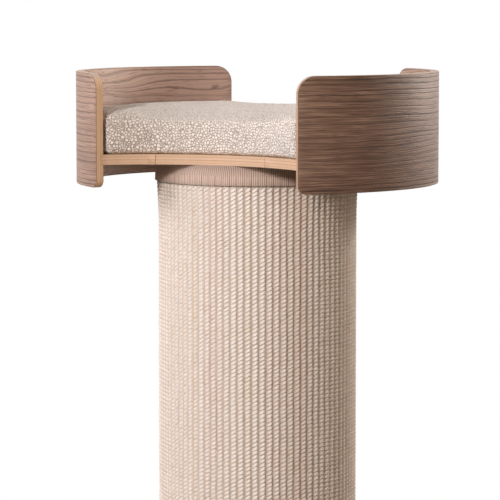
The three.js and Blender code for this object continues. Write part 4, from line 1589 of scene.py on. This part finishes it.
@dataclass
class Studio:
    """The pale floor, the soft light and the camera."""

    camera_place: tuple[float, float, float] = (1.6148, -3.6821, 1.2200)
    camera_dip: float = math.radians(5.592)
    camera_turn: float = math.radians(23.842)
    lens_mm: float = 190.47
    floor_radius: float = 6.0
    fade_start: float = 0.9
    fade_end: float = 2.4
    ambient: float = 0.22
    front_share: float = 0.36
    lamp_distance: float = 3.8
    lamp_aim: tuple[float, float, float] = (0.0, 0.0, 0.85)

    def lamp(self, name: str, bearing: float, rise: float, size: float, power: float, colour: str) -> None:
        """Adds a square soft light, aimed at the post.

        Args:
            name: Its name.
            bearing: The side it stands on, in degrees about +Z from +X, so that -90 is in front.
            rise: How high it stands over its aim, in degrees.
            size: The length of its sides.
            power: Its power in watts.
            colour: Its colour.
        """
        light = bpy.data.lights.new(name, "AREA")
        light.shape = "SQUARE"
        light.size = size
        light.energy = power
        light.color = linear(colour)[:3]
        holder = bpy.data.objects.new(name, light)
        turn, lift = math.radians(bearing), math.radians(rise)
        way = Vector((math.cos(lift) * math.cos(turn), math.cos(lift) * math.sin(turn), math.sin(lift)))
        holder.location = Vector(self.lamp_aim) + way * self.lamp_distance
        holder.rotation_euler = way.to_track_quat("Z", "Y").to_euler()
        holder.visible_camera = False
        bpy.context.scene.collection.objects.link(holder)

    def world(self) -> None:
        """Lights the room evenly, and shows white where nothing stands."""
        world = bpy.data.worlds.new("white_room")
        bpy.context.scene.world = world
        world.use_nodes = True
        tree = world.node_tree
        tree.nodes.clear()
        rays = add_node(tree, "ShaderNodeLightPath").outputs
        way = add_node(tree, "ShaderNodeTexCoord").outputs["Generated"]
        behind = add_node(tree, "ShaderNodeSeparateXYZ", None, {0: way}).outputs[1]
        # The white wall stands behind the post, and the room before it is dimmer.
        wall = add_node(tree, "ShaderNodeMapRange", {"interpolation_type": "SMOOTHSTEP"},
                        {0: behind, 1: -0.4, 2: 0.4, 3: self.front_share, 4: 1.0}).outputs[0]
        mirrored = sum_of(tree, "MULTIPLY", wall, sum_of(tree, "MAXIMUM", rays["Is Glossy Ray"],
                                                         rays["Is Transmission Ray"]))
        seen = sum_of(tree, "MAXIMUM", rays["Is Camera Ray"], mirrored)
        room = add_node(tree, "ShaderNodeBackground", None,
                        {"Color": linear("#fff1e2"), "Strength": sum_of(tree, "MULTIPLY", wall, self.ambient)})
        white = add_node(tree, "ShaderNodeBackground", None, {"Color": linear("#ffffff"), "Strength": 1.0})
        both = add_node(tree, "ShaderNodeMixShader", None, {0: seen, 1: room.outputs[0], 2: white.outputs[0]})
        add_node(tree, "ShaderNodeOutputWorld", None, {"Surface": both.outputs[0]})

    def floor(self) -> None:
        """Lays a pale floor that fades to the white room, and keeps the post's shadow."""
        material, tree = new_surface("pale_studio_floor")
        place = add_node(tree, "ShaderNodeTexCoord").outputs["Object"]
        distance = add_node(tree, "ShaderNodeVectorMath", {"operation": "LENGTH"}, {0: place}).outputs["Value"]
        far = add_node(tree, "ShaderNodeMapRange", {"interpolation_type": "SMOOTHSTEP"},
                       {0: distance, 1: self.fade_start, 2: self.fade_end, 3: 0.55, 4: 1.0}).outputs[0]
        rays = add_node(tree, "ShaderNodeLightPath").outputs
        seen = sum_of(tree, "MAXIMUM", rays["Is Camera Ray"],
                      sum_of(tree, "MAXIMUM", rays["Is Glossy Ray"], rays["Is Transmission Ray"]))
        # The floor is paler to the camera than to the light that it throws back up.
        tone = blend_colours(tree, rays["Is Camera Ray"], linear("#4a4744"), linear("#dcd9d4"))
        paint = add_node(tree, "ShaderNodeBsdfDiffuse", None, {"Color": tone})
        white = add_node(tree, "ShaderNodeEmission", None, {"Color": linear("#ffffff"), "Strength": 1.0})
        both = add_node(tree, "ShaderNodeMixShader", None,
                        {0: sum_of(tree, "MULTIPLY", far, seen), 1: paint.outputs[0], 2: white.outputs[0]})
        show(tree, both)
        work = bmesh.new()
        bmesh.ops.create_circle(work, cap_ends=True, segments=96, radius=self.floor_radius)
        mesh = bpy.data.meshes.new("studio_floor")
        work.to_mesh(mesh)
        work.free()
        mesh.materials.append(material)
        floor = bpy.data.objects.new("studio_floor", mesh)
        bpy.context.scene.collection.objects.link(floor)

    def camera(self) -> None:
        """Sets up the camera at the photograph's viewing angle."""
        data = bpy.data.cameras.new("photograph_camera")
        data.lens = self.lens_mm
        data.sensor_width = 36.0
        holder = bpy.data.objects.new("photograph_camera", data)
        holder.location = self.camera_place
        holder.rotation_euler = (QUARTER_TURN - self.camera_dip, 0.0, self.camera_turn)
        bpy.context.scene.collection.objects.link(holder)
        bpy.context.scene.camera = holder

    def build(self) -> None:
        """Builds the studio."""
        bpy.context.scene.view_settings.view_transform = "Standard"
        self.camera()
        self.world()
        self.floor()
        self.lamp("left_light", -135, 15, 1.2, 63, "#f2f5ff")
        self.lamp("high_left_light", -113, 35, 1.2, 13, "#fdfdff")
        self.lamp("key_light", -97, 22, 0.5, 86, "#fffdff")
        self.lamp("near_light", -75, 16, 0.5, 18, "#ffe6d6")
        self.lamp("low_light", -40, 3, 1.2, 18, "#ffe6d0")
        self.lamp("rim_light", 57, 25, 0.7, 96, "#fff6ee")
        self.lamp("low_rim_light", 57, 8, 0.9, 34, "#ffeee0")
        self.lamp("far_left_light", 180, 20, 1.2, 60, "#ffe9dc")


# ---------------------------------------------------------------- the whole post


@dataclass
class ScratchingPost:
    """The whole post, built from the sizes that the frame gives."""

    def finishes(self) -> dict[str, bpy.types.Material]:
        """Makes every finish once, by the name that the pieces know it by."""
        panel_low, panel_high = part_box("right_side_panel")
        platform_low, platform_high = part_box("platform_centre_board")
        outer = panel_high.x
        return {
            "veneer": Veneer().make(),
            # The left panel's edge is painted paler and yellower, and the right one's darker and less yellow: a painted
            # difference of light between the two sides. Both are painted paler on top, a painted sheen. Whether that is
            # the wood or the light can't be told, and the colours follow it.
            "left_panel_edge": PlyEdge("moulded_ply_edge_left_painted_light", PlyStack.RADIAL, outer - 12 * MM, 12 * MM, 7,
                                       along_grain="#e1bf9a", end_grain="#caa17c", face="#7a5c4a",
                                       face_share=0.06, painted_sheen_share=0.75).make(),
            "right_panel_edge": PlyEdge("moulded_ply_edge_right_painted_shade", PlyStack.RADIAL, outer - 12 * MM, 12 * MM, 7,
                                        along_grain="#b89b83", end_grain="#a58269", face="#6b5040",
                                        face_share=0.06, painted_sheen_share=0.75).make(),
            "platform_edge": PlyEdge("platform_ply_edge", PlyStack.UPRIGHT, platform_low.z,
                                     platform_high.z - platform_low.z, 7).make(),
            "birch": BirchFace().make(),
            "sisal": Sisal().make(),
            "webbing": RibbedCloth("taupe_cotton_webbing").make(),
            "collar": RibbedCloth("taupe_ribbed_cloth").make(),
            "boucle": Boucle().make(),
            "powder_coat": PlainFinish("powder_coated_steel_taupe", "#5f554c", "#564c44",
                                       1.2 * MM, 0.2 * MM, 0.6).make(),
            "zinc": PlainFinish("zinc_plated_steel", "#c2c4c8", "#a9acb1", 6 * MM, 0.02 * MM, 0.33, 1.0).make(),
            "felt": PlainFinish("needled_felt", "#4f4a45", "#37332f", 0.8 * MM, 0.5 * MM, 0.95, 0.0, 0.3).make(),
            "wound_board": PlainFinish("wound_grey_board", "#a68d72", "#8f775e", 3 * MM, 0.2 * MM, 0.9).make(),
        }

    def dress_kept_nodes(self, finishes: dict[str, bpy.types.Material]) -> None:
        """Gives the CAD nodes that stay their finish.

        Args:
            finishes: The finishes by name.
        """
        kept = {"base_pad": "felt", "base_bolt": "zinc", "base_insert": "zinc", "platform_insert": "zinc",
                "core_tube": "wound_board", "bottom_disc": "birch", "top_disc": "birch",
                "platform_left_tongue": "birch", "platform_right_tongue": "birch"}
        for name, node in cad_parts.items():
            for start, finish in kept.items():
                if name.startswith(start):
                    node.data.materials.clear()
                    node.data.materials.append(finishes[finish])
                    LOG.info("kept %s in %s", name, finishes[finish].name)

    def build(self) -> None:
        """Builds every piece in order."""
        finishes = self.finishes()
        plan = NestPlan()
        panel_low, panel_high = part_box("right_side_panel")
        platform_low, platform_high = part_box("platform_centre_board")
        wing_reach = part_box("platform_right_wing")[1].x
        outer = panel_high.x
        pieces: list[bpy.types.Object] = []
        for side in Side:
            panel = SidePanel(side, plan, outer, panel_low.z, panel_high.z,
                              platform_low.z - 0.1 * MM, platform_high.z + 0.1 * MM)
            pieces.append(panel.build(finishes["veneer"], finishes[f"{side.name.lower()}_panel_edge"]))
        bolts = [CountersunkBolt(f"platform_bolt_{i}") for i in range(1, 7)]
        places = []
        for bolt in bolts:
            low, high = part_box(bolt.node)
            places.append(((low.x + high.x) / 2, (low.y + high.y) / 2))
        inner = outer - SidePanel.thickness
        platform = Platform(plan, platform_low.z, platform_high.z, wing_reach, inner, places)
        pieces += platform.build(finishes["birch"], finishes["platform_edge"])
        pieces += [bolt.build(finishes["zinc"]) for bolt in bolts]
        pieces += Column().build(finishes["sisal"], finishes["webbing"], finishes["collar"])
        pieces.append(BasePlate().build(finishes["powder_coat"]))
        cushion_low, cushion_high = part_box("cushion")
        cushion = Cushion(plan, cushion_high.x, cushion_low.z, cushion_high.z - cushion_low.z)
        pieces.append(cushion.build(finishes["boucle"]))
        for piece in pieces:
            LOG.info("built %s with %d faces", piece.name, len(piece.data.polygons))
        self.dress_kept_nodes(finishes)


def main() -> None:
    """Builds the studio and the post."""
    logging.basicConfig(level=logging.INFO, format="%(message)s")
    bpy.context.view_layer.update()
    Studio().build()
    ScratchingPost().build()


if __name__ == "__main__":
    main()
